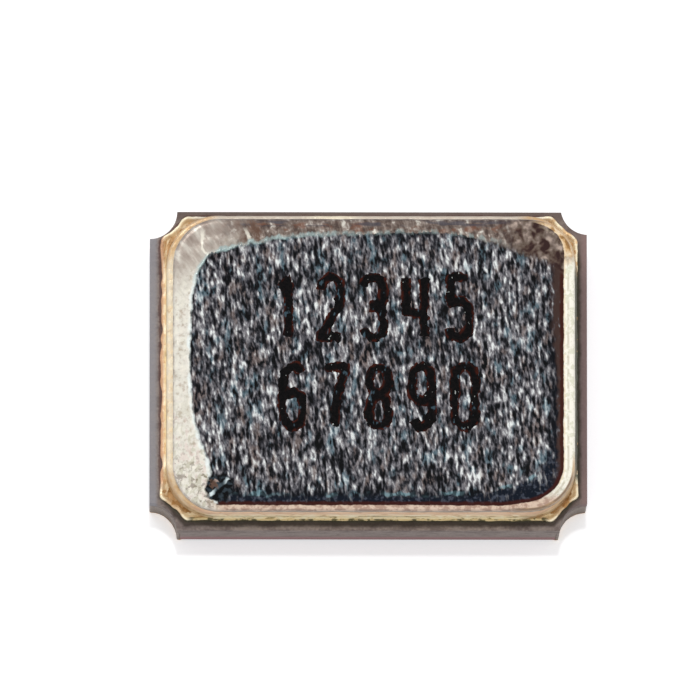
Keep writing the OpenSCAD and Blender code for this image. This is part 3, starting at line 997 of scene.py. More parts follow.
    def left_border(self, p: Pattern, blotch: Socket, fine: Socket, scratch: Socket) -> Socket:
        """Builds the bright left border, which is worn above and smudged and pitted below.

        Args:
            p: The pattern that it is drawn with.
            blotch: Height of the blotches.
            fine: Height of the fine grain.
            scratch: Height of the scratches.

        Returns:
            The socket of its colour.
        """
        mixed = p.blend(0.5, blotch, fine)
        colour = p.ramp(mixed, [(0.36, self.sand), (0.48, self.silver), (0.66, self.cream)])
        colour = self.worn.lay(p, colour, scratch)
        smudge = p.grain(self.smudges)
        for patch in (self.olive_smudge, self.pink_smudge):
            colour = patch.lay(p, colour, smudge)
        pit = p.mix(p.fade(blotch, 0.44, 0.56), self.pitted.tone, self.pit_grey)
        return self.pitted.lay(p, colour, p.grain(self.pits), pit)

    def top_border(self, p: Pattern, fine: Socket, into: Socket) -> Socket:
        """Builds the burnt top border with its rust spots, slate bars and leaning scars.

        Args:
            p: The pattern that it is drawn with.
            fine: Height of the fine grain.
            into: Distance from the lid's outline.

        Returns:
            The socket of its colour.
        """
        comb = p.grain(self.top_comb)
        colour = p.ramp(p.blend(0.45, comb, p.grain(self.top_fine)), self.top_tones)
        colour = p.over(colour, self.umber, p.fade(into, *self.umber_from, 0.0, 0.30))
        colour = p.stain(colour, self.spotted, p.fade(p.grain(self.rust_spots), 0.50, 0.64))
        colour = p.stain(colour, self.barred, p.fade(p.grain(self.slate_bars), 0.48, 0.58))
        leaning = p.less(p.shifted(p.x, p.y, self.scars_lean), self.scars_sway / 2)
        leaning = p.shifted(leaning, fine, self.scars_sway)
        colour = p.over(colour, self.wine, p.near(leaning, *self.burnt_scar), 0.85)
        colour = p.over(colour, self.wine, p.near(leaning, *self.combed_scar), p.fade(comb, 0.54, 0.44, 0.3, 0.9))
        return p.stain(colour, self.bright_scar_tint, p.near(leaning, *self.bright_scar))

    def right_border(self, p: Pattern, colour: Socket, blotch: Socket, mixed: Socket, into: Socket) -> Socket:
        """Lays the narrow bright strip along the right side, gold at its upper end.

        Args:
            p: The pattern that it is drawn with.
            colour: The border so far.
            blotch: Height of the blotches.
            mixed: Height of blotches and grain together.
            into: Distance from the lid's outline.

        Returns:
            The socket of the new colour.
        """
        width = p.shifted(p.fade(p.y, *self.strip_w), blotch, self.strip_sway)
        inner = p.less(width, into)
        pale = p.mix(p.fade(mixed, 0.42, 0.52), self.strip.tone, self.strip_bright)
        lumps = p.grain(self.lumps)
        upper = p.fade(p.shifted(p.y, blotch, 0.1), *self.gold_y)
        pale = p.over(pale, p.ramp(lumps, self.gold_tones), upper)
        pale = p.over(pale, self.inner_tone, p.fade(inner, *self.inner_from), p.fade(lumps, 0.38, 0.52, 0.1, 0.75))
        colour = p.over(colour, pale, p.zone(self.strip), p.fade(inner, -0.001, 0.001))
        return p.stain(colour, self.groove, p.near(into, *self.groove_at), p.fade(blotch, 0.40, 0.56))

    def border(self, p: Pattern, into: Socket) -> Socket:
        """Builds the welded border, which differs from side to side, with painted shade along the lid's outer edge
        and at its corner of most X and least Y.

        Args:
            p: The pattern that it is drawn with.
            into: Distance from the lid's outline.

        Returns:
            The socket of its colour.
        """
        blotch, fine, scratch = p.grain(self.blotch), p.grain(self.fine), p.grain(self.scratches)
        mixed = p.blend(0.5, blotch, fine)
        left = self.left_border(p, blotch, fine, scratch)
        shoulder = p.ramp(p.blend(0.6, scratch, blotch), self.shoulder_tones)
        slope = p.shifted(p.less(p.y, p.times(p.x, self.shoulder_lean)), blotch, 0.2)
        left = p.over(left, shoulder, p.fade(slope, *self.shoulder_from))
        colour = p.mix(p.fade(p.shifted(p.x, blotch, 0.25), *self.top_from_x), left, self.top_border(p, fine, into))
        colour = p.over(colour, left, p.fade(p.shifted(p.y, blotch, 0.10), *self.left_from_y))
        burnt = p.ramp(p.blend(0.75, p.grain(self.blobs), fine), self.burnt_tones)
        burnt_x = p.fade(p.shifted(p.x, blotch, 0.12), *self.burnt_x)
        colour = p.over(colour, burnt, burnt_x, p.fade(p.y, *self.burnt_y))
        crooked = p.shifted(p.less(p.x, self.crook_size / 2), p.grain(self.crook), self.crook_size)
        crooked = p.less(crooked, p.fade(p.y, *self.crook_bend))
        colour = p.stain(colour, self.bead, p.near(crooked, *self.bead_at))
        colour = p.over(colour, p.mix(p.fade(mixed, 0.43, 0.57), self.low.tone, self.low_pale), p.zone(self.low))
        colour = self.right_border(p, colour, blotch, mixed, into)
        corner = p.less(p.x, p.y)
        rounded = (p.fade(corner, *self.round_corner), p.fade(into, *self.round_from))
        colour = p.stain(colour, self.round_low, *rounded)
        # Paints the line of shade inside the lid's edge at that corner.
        corner_edge_shade = (p.near(into, *self.corner_edge_shade_at), p.fade(corner, *self.corner_edge_shade_corner), p.fade(blotch, 0.36, 0.52, 0.4, 0.85))
        colour = p.stain(colour, self.corner_edge_shade, *corner_edge_shade)
        # Paints the shade along the lid's outer edge.
        return p.stain(colour, self.seam, p.fade(into, *self.shoulder_shade_from), p.fade(blotch, 0.40, 0.60, 0.55, 0.15))

    def dent(self, p: Pattern, colour: Socket) -> Socket:
        """Burns the dark dent into the corner of least X and Y, with the bright scratch across it.

        Args:
            p: The pattern that it is drawn with.
            colour: What it is burnt into.

        Returns:
            The socket of the new colour.
        """
        off_x, off_y = p.less(p.x, self.dent_at[0]), p.less(p.y, self.dent_at[1])
        reach = p.sum("SQRT", p.sum("ADD", p.times(off_x, off_x), p.times(off_y, off_y)))
        reach = p.shifted(reach, p.grain(self.dent_edge), self.dent_sway)
        scuffed = p.mix(p.fade(p.grain(self.scuffs), 0.46, 0.62, 0.0, 0.7), self.black, self.scuff)
        colour = p.over(colour, scuffed, p.fade(reach, *self.dent_r))
        spot_x, spot_y = p.less(off_x, self.spot_off[0]), p.less(off_y, self.spot_off[1])
        spot = p.less(p.sum("ADD", p.times(spot_x, spot_x), p.times(spot_y, spot_y)), self.spot_r2)
        spot = p.shifted(spot, p.grain(self.spot_edge), self.spot_sway)
        spotted = p.mix(p.fade(p.sum("ADD", spot_x, spot_y), 0.004, 0.020), self.wine, self.spot_light)
        colour = p.over(colour, spotted, p.fade(spot, *self.spot_from, 0.0, 0.85))
        slant = p.less(p.times(off_x, self.slash[0]), p.times(off_y, self.slash[1]))
        slant = p.shifted(slant, p.grain(self.slash_rough), self.slash_sway)
        ends = p.fade(p.sum("ABSOLUTE", p.less(off_x, self.slash_middle)), 0.008, 0.030, 0.2, 1.0)
        slash = p.times(p.near(slant, *self.slash_at), p.fade(reach, *self.slash_r), ends)
        return p.over(colour, p.mix(ends, *self.slash_tones), slash)

    def shaded(self, p: Pattern, colour: Socket, height: Socket, near_rim: Socket) -> Socket:
        """Darkens the field along its lower rim and burns it along its right one.

        Args:
            p: The pattern that it is drawn with.
            colour: The streaked field.
            height: The field's relief.
            near_rim: Distance from the field's rim.

        Returns:
            The socket of the new colour.
        """
        past = p.less(near_rim, p.fade(p.less(p.x, p.y), *self.shade_reach))
        mottled = p.fade(p.grain(self.shade_spots), 0.50, 0.64, 0.0, 0.6)
        mottled = p.mix(mottled, self.shade.tone, self.shade_mottle)
        shade = (p.fade(past, *self.shade_from), p.zone(self.shade), p.fade(height, 0.60, 0.46, 0.50, 0.94))
        colour = p.over(colour, mottled, *shade)
        gaps = p.fade(p.grain(self.shade_rim_gaps), 0.44, 0.60)
        rim = (p.near(past, *self.shade_rim_at), gaps, p.fade(height, 0.38, 0.50, 0.3, 1.0))
        colour = p.stain(colour, self.shade_rim, *rim)
        reach = p.fade(p.y, *self.burn_reach)
        burnt = (p.fade(near_rim, reach, p.times(reach, 0.5)), p.fade(height, 0.60, 0.49, 0.12, 0.92))
        return p.stain(colour, self.burn, *burnt)

    def side(self, p: Pattern) -> Socket:
        """Builds the drawn side walls, which are gold at the corner of most X and Y.

        Args:
            p: The pattern that it is drawn with.

        Returns:
            The socket of their colour.
        """
        drawn = p.blend(0.6, p.grain(self.side_drawn), p.grain(self.side_fine))
        colour = p.stain(p.ramp(drawn, self.side_tones), self.side_foot)
        return p.stain(colour, self.side_gold)

    def build(self) -> bpy.types.Material:
        """Makes the material.

        Returns:
            The material.
        """
        p = Pattern(self.name)
        into = self.into(p)
        wobble = p.sway(p.grain(self.wobbles), self.wobble)
        left_edge = p.curve(p.sum("MULTIPLY_ADD", p.y, 1 / self.edge_span[1], 0.5), self.left_edge)
        top_edge = p.curve(p.sum("MULTIPLY_ADD", p.x, 1 / self.edge_span[0], 0.5), self.top_edge)
        left_edge = p.shifted(self.left_base, left_edge, self.edge_rise)
        top_edge = p.shifted(self.top_base, top_edge, self.edge_rise)
        from_left = p.sum("ADD", p.less(p.x, left_edge), wobble)
        comb = p.grain(self.comb)
        ragged = p.shifted(p.less(wobble, self.comb_size / 2), comb, self.comb_size)
        from_top = p.sum("ADD", p.less(top_edge, p.y), ragged)
        rim = p.shifted(p.less(into, p.fade(p.x, *self.right_rim)), wobble, 0.5)
        upper = p.sum("SMOOTH_MIN", from_left, from_top, 0.02)
        inside = p.fade(p.sum("DIVIDE", upper, p.fade(p.x, *self.soft)), 0.0, 1.0)
        inside = p.times(inside, p.fade(rim, -0.001, 0.003))
        near_rim = p.shifted(rim, wobble, 1.5)
        dark = p.sum("MAXIMUM", p.fade(near_rim, 0.070, 0.026), p.fade(upper, 0.020, 0.004, 0.0, 0.6))
        colour, height = self.field(p, dark)
        colour = self.shaded(p, colour, height, near_rim)
        colour = p.over(colour, self.red, p.fade(rim, *self.red_from, 0.0, 0.9))
        colour = p.mix(inside, self.border(p, into), colour)
        torn = p.fade(p.grain(self.halo), 0.38, 0.60, 0.15, 0.85)
        halo = (p.near(upper, *self.halo_at), p.fade(p.x, *self.halo_x), torn)
        halo += (p.fade(into, 0.020, 0.030), p.fade(p.y, *self.halo_y, 1.0, 0.75))
        colour = p.over(colour, p.mix(p.fade(p.y, *self.halo_y), self.frost, self.teal), *halo)
        fringe = (p.near(from_top, *self.fringe_at), p.fade(comb, 0.40, 0.60), p.fade(from_left, 0.0, 0.05))
        colour = self.dent(p, p.stain(colour, self.fringe, *fringe))
        colour = p.over(colour, self.side(p), p.fade(p.z, *self.side_from))
        relief = p.shifted(p.times(height, inside), p.grain(Grain(140, 2, 0.6)), 0.25)
        roughness = p.fade(inside, 0.0, 1.0, 0.34, 0.44)
        p.surface(Base_Color=colour, Metallic=0.85, Roughness=roughness, Normal=p.bump(relief, 0.003))
        return p.material


@dataclass(frozen=True)
class MarkFinish:
    """The burnt oxide of a laser mark: black, with rust where its edge runs out."""

    name: str = "laser_mark"
    soot: Tone = Tone(3, 3, 4)
    ash: Tone = Tone(14, 11, 12)
    rust: Tone = Tone(60, 22, 13)
    steel: Tone = Tone(70, 92, 104)
    speck: Tone = Tone(186, 192, 188)
    flecks: Grain = Grain(90, 2, 0.6)
    patches: Grain = Grain((52, 26, 1), 2, 0.5)
    specks: Grain = Grain((88, 62, 1), 1, 0.5, shift=(3, 8, 0))
    rim_z: Span = (0.5010, 0.5003)

    def build(self) -> bpy.types.Material:
        """Makes the material.

        Returns:
            The material.
        """
        p = Pattern(self.name)
        flecks, patch = p.grain(self.flecks), p.grain(self.patches)
        colour = p.ramp(flecks, [(0.42, self.soot), (0.62, self.ash)])
        colour = p.over(colour, self.rust, p.fade(p.z, *self.rim_z), p.fade(patch, 0.40, 0.56))
        colour = p.over(colour, self.steel, p.fade(patch, 0.64, 0.72, 0.0, 0.7))
        colour = p.over(colour, self.speck, p.fade(p.grain(self.specks), 0.74, 0.79, 0.0, 0.8))
        p.surface(Base_Color=colour, Roughness=0.8, Specular_IOR_Level=0.1, Normal=p.bump(flecks, 0.003))
        return p.material


@dataclass(frozen=True)
class TungstenFinish:
    """Fired tungsten paste."""

    name: str = "fired_tungsten"
    deep: Tone = Tone(66, 64, 66)
    mid: Tone = Tone(98, 95, 98)
    flecks: Grain = Grain(130, 3, 0.6)

    def build(self) -> bpy.types.Material:
        """Makes the material.

        Returns:
            The material.
        """
        p = Pattern(self.name)
        flecks = p.grain(self.flecks)
        colour = p.ramp(flecks, [(0.35, self.deep), (0.65, self.mid)])
        p.surface(Base_Color=colour, Metallic=0.9, Roughness=0.62, Normal=p.bump(flecks, 0.003))
        return p.material


@dataclass(frozen=True)
class SiliconFinish:
    """The ground back of the die, with the fine arcs of the grinding wheel."""

    name: str = "ground_silicon"
    deep: Tone = Tone(52, 56, 70)
    mid: Tone = Tone(84, 88, 102)
    flecks: Grain = Grain(90, 2, 0.5)
    wheel_at: tuple[float, float, float] = (1.6, 2.3, 0)
    arcs_per_mm: float = 34
    wander: float = 1.5

    def build(self) -> bpy.types.Material:
        """Makes the material.

        Returns:
            The material.
        """
        p = Pattern(self.name)
        arcs = p.nodes.new("ShaderNodeTexWave")
        arcs.wave_type = "RINGS"
        arcs.rings_direction = "SPHERICAL"
        p.links.new(p.stretched((1, 1, 1), 0, self.wheel_at), arcs.inputs["Vector"])
        arcs.inputs["Scale"].default_value = self.arcs_per_mm
        arcs.inputs["Distortion"].default_value = self.wander
        height = p.blend(0.5, arcs.outputs["Fac"], p.grain(self.flecks))
        colour = p.ramp(height, [(0.25, self.deep), (0.75, self.mid)])
        p.surface(Base_Color=colour, Metallic=0.4, Roughness=0.32, Normal=p.bump(height, 0.0008))
        return p.material


@dataclass(frozen=True)
class AdhesiveFinish:
    """Resin filled with silver flakes."""

    name: str = "silver_adhesive"
    resin: Tone = Tone(150, 146, 140)
    flake: Tone = Tone(214, 212, 206)
    flakes_per_mm: float = 120

    def build(self) -> bpy.types.Material:
        """Makes the material.

        Returns:
            The material.
        """
        p = Pattern(self.name)
        flakes = p.cells(self.flakes_per_mm)
        p.surface(
            Base_Color=p.ramp(flakes, [(0.2, self.flake), (0.5, self.resin)]),
            Metallic=p.fade(flakes, 0.5, 0.25, 0.1, 0.8), Roughness=0.55, Normal=p.bump(flakes, 0.003),
        )
        return p.material


@dataclass(frozen=True)
class QuartzFinish:
    """Lapped quartz: clear, with a frosted skin."""

    name: str = "lapped_quartz"
    body: Tone = Tone(232, 240, 245)
    lapping: Grain = Grain(160, 3, 0.6)
    refraction: float = 1.54
    clearness: float = 0.85

    def build(self) -> bpy.types.Material:
        """Makes the material.

        Returns:
            The material.
        """
        p = Pattern(self.name)
        lap = p.grain(self.lapping)
        p.surface(
            Base_Color=self.body, Roughness=p.fade(lap, 0.3, 0.7, 0.18, 0.42), Normal=p.bump(lap, 0.001),
            IOR=self.refraction, Transmission_Weight=self.clearness,
        )
        return p.material


# The bench


Piece = bpy.types.Object


class Bench:
    """Modelling steps that the sub-assemblies share. One unit is one millimetre here."""

    @staticmethod
    def clear() -> None:
        """Leaves edit mode and deselects everything."""
        if bpy.context.object is not None and bpy.context.object.mode != "OBJECT":
            bpy.ops.object.mode_set(mode="OBJECT")
        bpy.ops.object.select_all(action="DESELECT")

    @staticmethod
    def hold(piece: Piece) -> None:
        """Makes a piece the only one selected, and active.

        Args:
            piece: The piece.
        """
        Bench.clear()
        piece.select_set(True)
        bpy.context.view_layer.objects.active = piece

    @staticmethod
    def block(low: Sequence[float], high: Sequence[float]) -> Piece:
        """Adds a cube stretched between two corners.

        Args:
            low: Its corner of least X, Y and Z.
            high: Its corner of most X, Y and Z.

        Returns:
            The block.
        """
        Bench.clear()
        low, high = Vector(low), Vector(high)
        bpy.ops.mesh.primitive_cube_add(size=1, location=(low + high) / 2, scale=high - low)
        return Bench.fix()

    @staticmethod
    def rod(x: float, y: float, z0: float, z1: float, radius: float, sides: int = 96) -> Piece:
        """Adds an upright cylinder.

        Args:
            x: Its axis along X.
            y: Its axis along Y.
            z0: Its lower end.
            z1: Its upper end.
            radius: Its radius.
            sides: How many sides stand for its round.

        Returns:
            The cylinder.
        """
        Bench.clear()
        middle = (x, y, (z0 + z1) / 2)
        bpy.ops.mesh.primitive_cylinder_add(vertices=sides, radius=radius, depth=z1 - z0, location=middle)
        return Bench.fix()

    @staticmethod
    def fix() -> Piece:
        """Writes the held piece's place, turn and scale into its mesh."""
        bpy.ops.object.transform_apply(location=True, rotation=True, scale=True)
        return bpy.context.object

    @staticmethod
    def cad_copy(node: str) -> Piece:
        """Copies a CAD node's mesh, in millimetres and with its triangles joined.

        Args:
            node: The node's name.

        Returns:
            The copy.
        """
        source = frame["nodes"][node]
        piece = bpy.data.objects.new(node + "_copy", source.data.copy())
        bpy.context.scene.collection.objects.link(piece)
        Bench.hold(piece)
        piece.scale = (1 / MM,) * 3
        Bench.fix()
        bpy.ops.object.mode_set(mode="EDIT")
        bpy.ops.mesh.select_all(action="SELECT")
        bpy.ops.mesh.remove_doubles(threshold=1e-5)
        Bench.clear()
        return piece

    @staticmethod
    def shape(piece: Piece, modifier: str, **settings) -> None:
        """Adds a modifier and applies it.

        Args:
            piece: The piece that it changes.
            modifier: The modifier's type.
            settings: Its settings by name.
        """
        Bench.hold(piece)
        step = piece.modifiers.new(modifier.lower(), modifier)
        for name, value in settings.items():
            setattr(step, name, value)
        bpy.ops.object.modifier_apply(modifier=step.name)

    @staticmethod
    def combine(piece: Piece, others: Sequence[Piece], operation: str) -> None:
        """Makes one solid of a piece and others, which are used up.

        Args:
            piece: The piece that it changes.
            others: The solids to combine it with.
            operation: The Boolean modifier's name for the way.
        """
        for other in others:
            Bench.shape(piece, "BOOLEAN", operation=operation, solver="EXACT", object=other)
            bpy.data.objects.remove(other, do_unlink=True)

    @staticmethod
    def cut(piece: Piece, tools: Sequence[Piece]) -> None:
        """Takes each tool out of a piece."""
        Bench.combine(piece, tools, "DIFFERENCE")

    @staticmethod
    def weld(piece: Piece, others: Sequence[Piece]) -> None:
        """Adds other solids to a piece."""
        Bench.combine(piece, others, "UNION")

    @staticmethod
    def outwards(merged: float = 0.0) -> None:
        """Turns all faces outwards in edit mode and leaves it.

        Args:
            merged: Distance up to which points are merged first.
        """
        bpy.ops.mesh.select_all(action="SELECT")
        if merged:
            bpy.ops.mesh.remove_doubles(threshold=merged)
        bpy.ops.mesh.normals_make_consistent(inside=False)
        Bench.clear()

    @staticmethod
    def edges(piece: Piece, test: Callable[[Vector, Vector], bool]) -> None:
        """Enters edit mode with the edges selected whose ends pass a test.

        Args:
            piece: The piece.
            test: What both ends of an edge have to pass.
        """
        Bench.hold(piece)
        bpy.ops.object.mode_set(mode="EDIT")
        bpy.ops.mesh.select_mode(type="EDGE")
        bpy.ops.mesh.select_all(action="DESELECT")
        mesh = bmesh.from_edit_mesh(piece.data)
        for edge in mesh.edges:
            edge.select = test(edge.verts[0].co, edge.verts[1].co)
        mesh.select_flush_mode()
        bmesh.update_edit_mesh(piece.data)

    @staticmethod
    def faces(piece: Piece, test: Callable[[Vector, Vector], bool]) -> None:
        """Enters edit mode with the faces selected whose middle and normal pass a test.

        Args:
            piece: The piece.
            test: What the middle and the normal of a face have to pass.
        """
        Bench.hold(piece)
        bpy.ops.object.mode_set(mode="EDIT")
        bpy.ops.mesh.select_mode(type="FACE")
        bpy.ops.mesh.select_all(action="DESELECT")
        mesh = bmesh.from_edit_mesh(piece.data)
        for face in mesh.faces:
            face.select = test(face.calc_center_median(), face.normal)
        mesh.select_flush_mode()
        bmesh.update_edit_mesh(piece.data)

    @staticmethod
    def round_uprights(piece: Piece, radius: float, segments: int) -> None:
        """Rounds the upright edges of a block.

        Args:
            piece: The block.
            radius: Radius of the round.
            segments: How many faces stand for it.
        """
        Bench.edges(piece, lambda a, b: (a - b).xy.length < 1e-6)
        bpy.ops.mesh.bevel(offset=radius, segments=segments, affect="EDGES")
        Bench.clear()

    @staticmethod
    def push(piece: Piece, move: Callable[[Vector, Vector], Vector]) -> None:
        """Moves every point of a piece.

        Args:
            piece: The piece.
            move: Gives a point's move from its place and normal.
        """
        points = [(v.co.copy(), v.normal.copy()) for v in piece.data.vertices]
        for vertex, (place, normal) in zip(piece.data.vertices, points):
            vertex.co = place + move(place, normal)
        piece.data.update()

    @staticmethod
    def ripple(place: Vector, cells: float | Sequence[float], seed: float = 0.0) -> float:
        """Reads a smooth noise of about -1 to 1.

        Args:
            place: Where it is read, in millimetres.
            cells: Cells per millimetre, one number or one for each axis.
            seed: Shifts the noise, so that two pieces differ.

        Returns:
            The height.
        """
        scale = Vector((cells,) * 3) if isinstance(cells, (int, float)) else Vector(cells)
        return noise.noise(place * scale + Vector((seed, -seed, 2 * seed)))

    @staticmethod
    def settle(piece: Piece, name: str, slot: Slot, finish: bpy.types.Material, smooth: float = 35) -> None:
        """Names and dresses a finished piece and takes it from millimetres to metres.

        Args:
            piece: The piece, with its origin at the world's.
            name: Its name in the scene.
            slot: Not used.
            finish: Its material.
            smooth: Angle in degrees up to which its faces shade as one.
        """
        Bench.hold(piece)
        piece.scale = (MM,) * 3
        Bench.fix()
        bpy.ops.object.shade_smooth_by_angle(angle=math.radians(smooth))
        piece.name = name
        piece.data.name = name
        piece.data.materials.clear()
        piece.data.materials.append(finish)
        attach(piece, ROOT)
        Bench.clear()
        log.info("%s: %d faces", name, len(piece.data.polygons))


# Outlines

CORNERS = ((1, 1), (-1, 1), (-1, -1), (1, -1))


@dataclass(frozen=True)
class Station:
    """A place on a closed outline, with the direction that points out of it."""

    at: Vector
    out: Vector

    def moved(self, outwards: float, height: float) -> Vector:
        """Gives the point beside the outline at a height."""
        flat = self.at + self.out * outwards
        return Vector((flat.x, flat.y, height))


@dataclass(frozen=True)
class Divisions:
    """How many points an outline has on each long side, short side and corner."""

    long: int = 150
    short: int = 105
    corner: int = 26


@dataclass(frozen=True)
class RoundOutline:
    """A rectangle with round corners, counter-clockwise from the corner of most X and Y."""

    middle: Vector
    length: float
    width: float
    radius: float

    def inset(self, by: float) -> "RoundOutline":
        """Gives the outline that lies inside this one by a distance."""
        return RoundOutline(self.middle, self.length - 2 * by, self.width - 2 * by, self.radius - by)

    def stations(self, parts: Divisions) -> list[Station]:
        """Spreads the points along corners and sides.

        Args:
            parts: How many points each of them has.

        Returns:
            The points.
        """
        half = Vector((self.length / 2 - self.radius, self.width / 2 - self.radius))
        result: list[Station] = []
        for turn, (sx, sy) in enumerate(CORNERS):
            centre = Vector((self.middle.x + sx * half.x, self.middle.y + sy * half.y))
            for i in range(parts.corner):
                angle = math.pi / 2 * (turn + i / parts.corner)
                out = Vector((math.cos(angle), math.sin(angle)))
                result.append(Station(centre + out * self.radius, out))
            run = half.x if turn % 2 == 0 else half.y
            result += side_stations(centre + turned(turn + 1) * self.radius, 2 * run, turn, parts)
        return result


@dataclass(frozen=True)
class CutOutline:
    """A rectangle with its corners cut off straight, counter-clockwise from the corner of most X and Y."""

    middle: Vector
    length: float
    width: float
    cut: Vector

    def inset(self, by: float) -> "CutOutline":
        """Gives the outline that lies inside this one.

        Args:
            by: How far inside it lies.

        Returns:
            The new outline.
        """
        slant = self.cut.length - self.cut.x - self.cut.y
        share = 1 + by * slant / (self.cut.x * self.cut.y)
        return CutOutline(self.middle, self.length - 2 * by, self.width - 2 * by, self.cut * share)

    def stations(self, parts: Divisions, passes: int = 0) -> list[Station]:
        """Spreads the points along cuts and sides.

        Args:
            parts: How many points each of them has.
            passes: How often each point is averaged with its neighbours, which rounds the tips.

        Returns:
            The points.
        """
        result: list[Station] = []
        for turn, (sx, sy) in enumerate(CORNERS):
            corner = Vector((self.middle.x + sx * self.length / 2, self.middle.y + sy * self.width / 2))
            on_short = corner - Vector((0, sy * self.cut.y))
            on_long = corner - Vector((sx * self.cut.x, 0))
            first, last = (on_short, on_long) if turn % 2 == 0 else (on_long, on_short)
            out = Vector((sx * self.cut.y, sy * self.cut.x)).normalized()
            result += [Station(first.lerp(last, i / parts.corner), out) for i in range(parts.corner)]
            run = self.length - 2 * self.cut.x if turn % 2 == 0 else self.width - 2 * self.cut.y
            result += side_stations(last, run, turn, parts)
        for _ in range(passes):
            around = zip(result[-1:] + result[:-1], result, result[1:] + result[:1])
            result = [
                Station((a.at + 2 * b.at + c.at) / 4, (a.out + 2 * b.out + c.out).normalized()) for a, b, c in around
            ]
        return result


def turned(quarters: int) -> Vector:
    """Gives the direction that is some quarter turns from +X."""
    return Vector(((1, 0), (0, 1), (-1, 0), (0, -1))[quarters % 4])


def side_stations(start: Vector, run: float, turn: int, parts: Divisions) -> list[Station]:
    """Spreads points along the side that follows a corner, up to just before the next corner.

    Args:
        start: First point of the side.
        run: The side's length.
        turn: Which corner it follows.
        parts: How many points it has.

    Returns:
        The points, which all look out of the same side.
    """
    count = parts.long if turn % 2 == 0 else parts.short
    along, out = turned(turn + 2), turned(turn + 1)
    return [Station(start + along * (run * i / count), out) for i in range(count)]


class Loft:
    """A closed band made by extruding one loop of points into the next."""

    def __init__(self, first: Sequence[Vector]) -> None:
        """Starts the band with its first loop.

        Args:
            first: The loop's points.
        """
        Bench.clear()
        bpy.ops.mesh.primitive_circle_add(vertices=len(first), radius=1, fill_type="NOTHING")
        self.piece = bpy.context.object
        for vertex, place in zip(self.piece.data.vertices, first):
            vertex.co = place
        bpy.ops.object.mode_set(mode="EDIT")
        bpy.ops.mesh.select_mode(type="VERT")
        bpy.ops.mesh.select_all(action="SELECT")
        self.loop = list(range(len(first)))

    def to(self, places: Sequence[Vector]) -> None:
        """Extrudes the last loop to new places.

        Args:
            places: The next loop's points, as many as the first one has.
        """
        bpy.ops.mesh.extrude_edges_indiv()
        mesh = bmesh.from_edit_mesh(self.piece.data)
        mesh.verts.ensure_lookup_table()
        fresh = []
        for index, place in zip(self.loop, places):
            vertex = mesh.verts[index]
            new = next(e.other_vert(vertex) for e in vertex.link_edges if e.other_vert(vertex).select)
            new.co = place
            fresh.append(new.index)
        self.loop = fresh
        bmesh.update_edit_mesh(self.piece.data)

    def close(self) -> Piece:
        """Joins the last loop, which lies on the first, to it."""
        Bench.outwards(merged=1e-6)
        return self.piece


def lofted(loops: Sequence[Sequence[Vector]]) -> Piece:
    """Makes a closed band through loops of points, back to the first one.

    Args:
        loops: The loops, each with as many points.

    Returns:
        The band.
    """
    band = Loft(loops[0])
    for loop in loops[1:]:
        band.to(loop)
    band.to(loops[0])
    return band.close()


CAVITY = RoundOutline(Vector((0, 0)), 1.202, 0.801, 0.05)

# Sub-assemblies


@dataclass(frozen=True)
class Wave:
    """An unevenness: its size, its cells per millimetre, and the seed that sets it apart from others."""

    size: float
    cells: float | tuple[float, float, float]
    seed: float = 0.0

    def at(self, place: Vector, shift: float = 0.0) -> float:
        """Gives the unevenness at a place, with the seed shifted."""
        return self.size * Bench.ripple(place.to_3d(), self.cells, self.seed + shift)


@dataclass
class CeramicTub:
    """The fired tub with its notches, cavity, pocket and the room for its conductors."""

    box: Box = field(default_factory=lambda: Box.of("ceramic_base"))
    notch_r: float = 0.1
    plated_notch_r: float = 0.112
    wall_slip: tuple[float, float] = (0.0045, 0.018)
    edge_r: float = 0.005
    cavity: RoundOutline = CAVITY
    pocket: tuple[float, float, float] = (-0.391, 0.511, 0.3405)
    floor_z: float = 0.095
    shelf_z: float = 0.205
    past: float = 0.1
    overlap: float = 0.01
    conductors: tuple[str, ...] = ("terminal_vias", "ring_via", "crystal_vias", "floor_tracks")

    def corners(self) -> list[tuple[float, float]]:
        """The body's four corners."""
        low, high = self.box.low, self.box.high
        return [(x, y) for x in (low.x, high.x) for y in (low.y, high.y)]

    def build(self) -> Piece:
        """Cuts the tub out of a block. The wall layer's last notch was punched a little off the corner.

        Returns:
            The tub.
        """
        low, high = self.box.low, self.box.high
        tub = Bench.block(low, high)
        slips = [(0.0, 0.0)] * 3 + [self.wall_slip]
        Bench.cut(tub, [
            Bench.rod(x + dx, y + dy, self.shelf_z - self.overlap, high.z + self.past, self.notch_r)
            for (x, y), (dx, dy) in zip(self.corners(), slips)
        ])
        under = low.z - self.past
        Bench.cut(tub, [Bench.rod(x, y, under, self.shelf_z, self.plated_notch_r) for x, y in self.corners()])
        Bench.shape(tub, "BEVEL", width=self.edge_r, segments=3, limit_method="ANGLE", angle_limit=math.radians(50))
        half_l, half_w = self.cavity.length / 2, self.cavity.width / 2
        cavity = Bench.block((-half_l, -half_w, self.shelf_z), (half_l, half_w, high.z + self.past))
        Bench.round_uprights(cavity, self.cavity.radius, 8)
        x0, x1, half_w = self.pocket
        pocket = Bench.block((x0, -half_w, self.floor_z), (x1, half_w, high.z + self.past))
        Bench.cut(tub, [cavity, pocket] + [Bench.cad_copy(node) for node in self.conductors])
        return tub

    def dress(self) -> None:
        """Makes the tub and puts it in the CAD node's place."""
        tub = self.build()
        finish = AluminaFinish(SealOutline(Box.of("seal_metallisation"), SEAL_CUT))
        Bench.settle(tub, "ceramic_tub", Slot.ALUMINA, finish.build())
        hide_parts("ceramic_base")


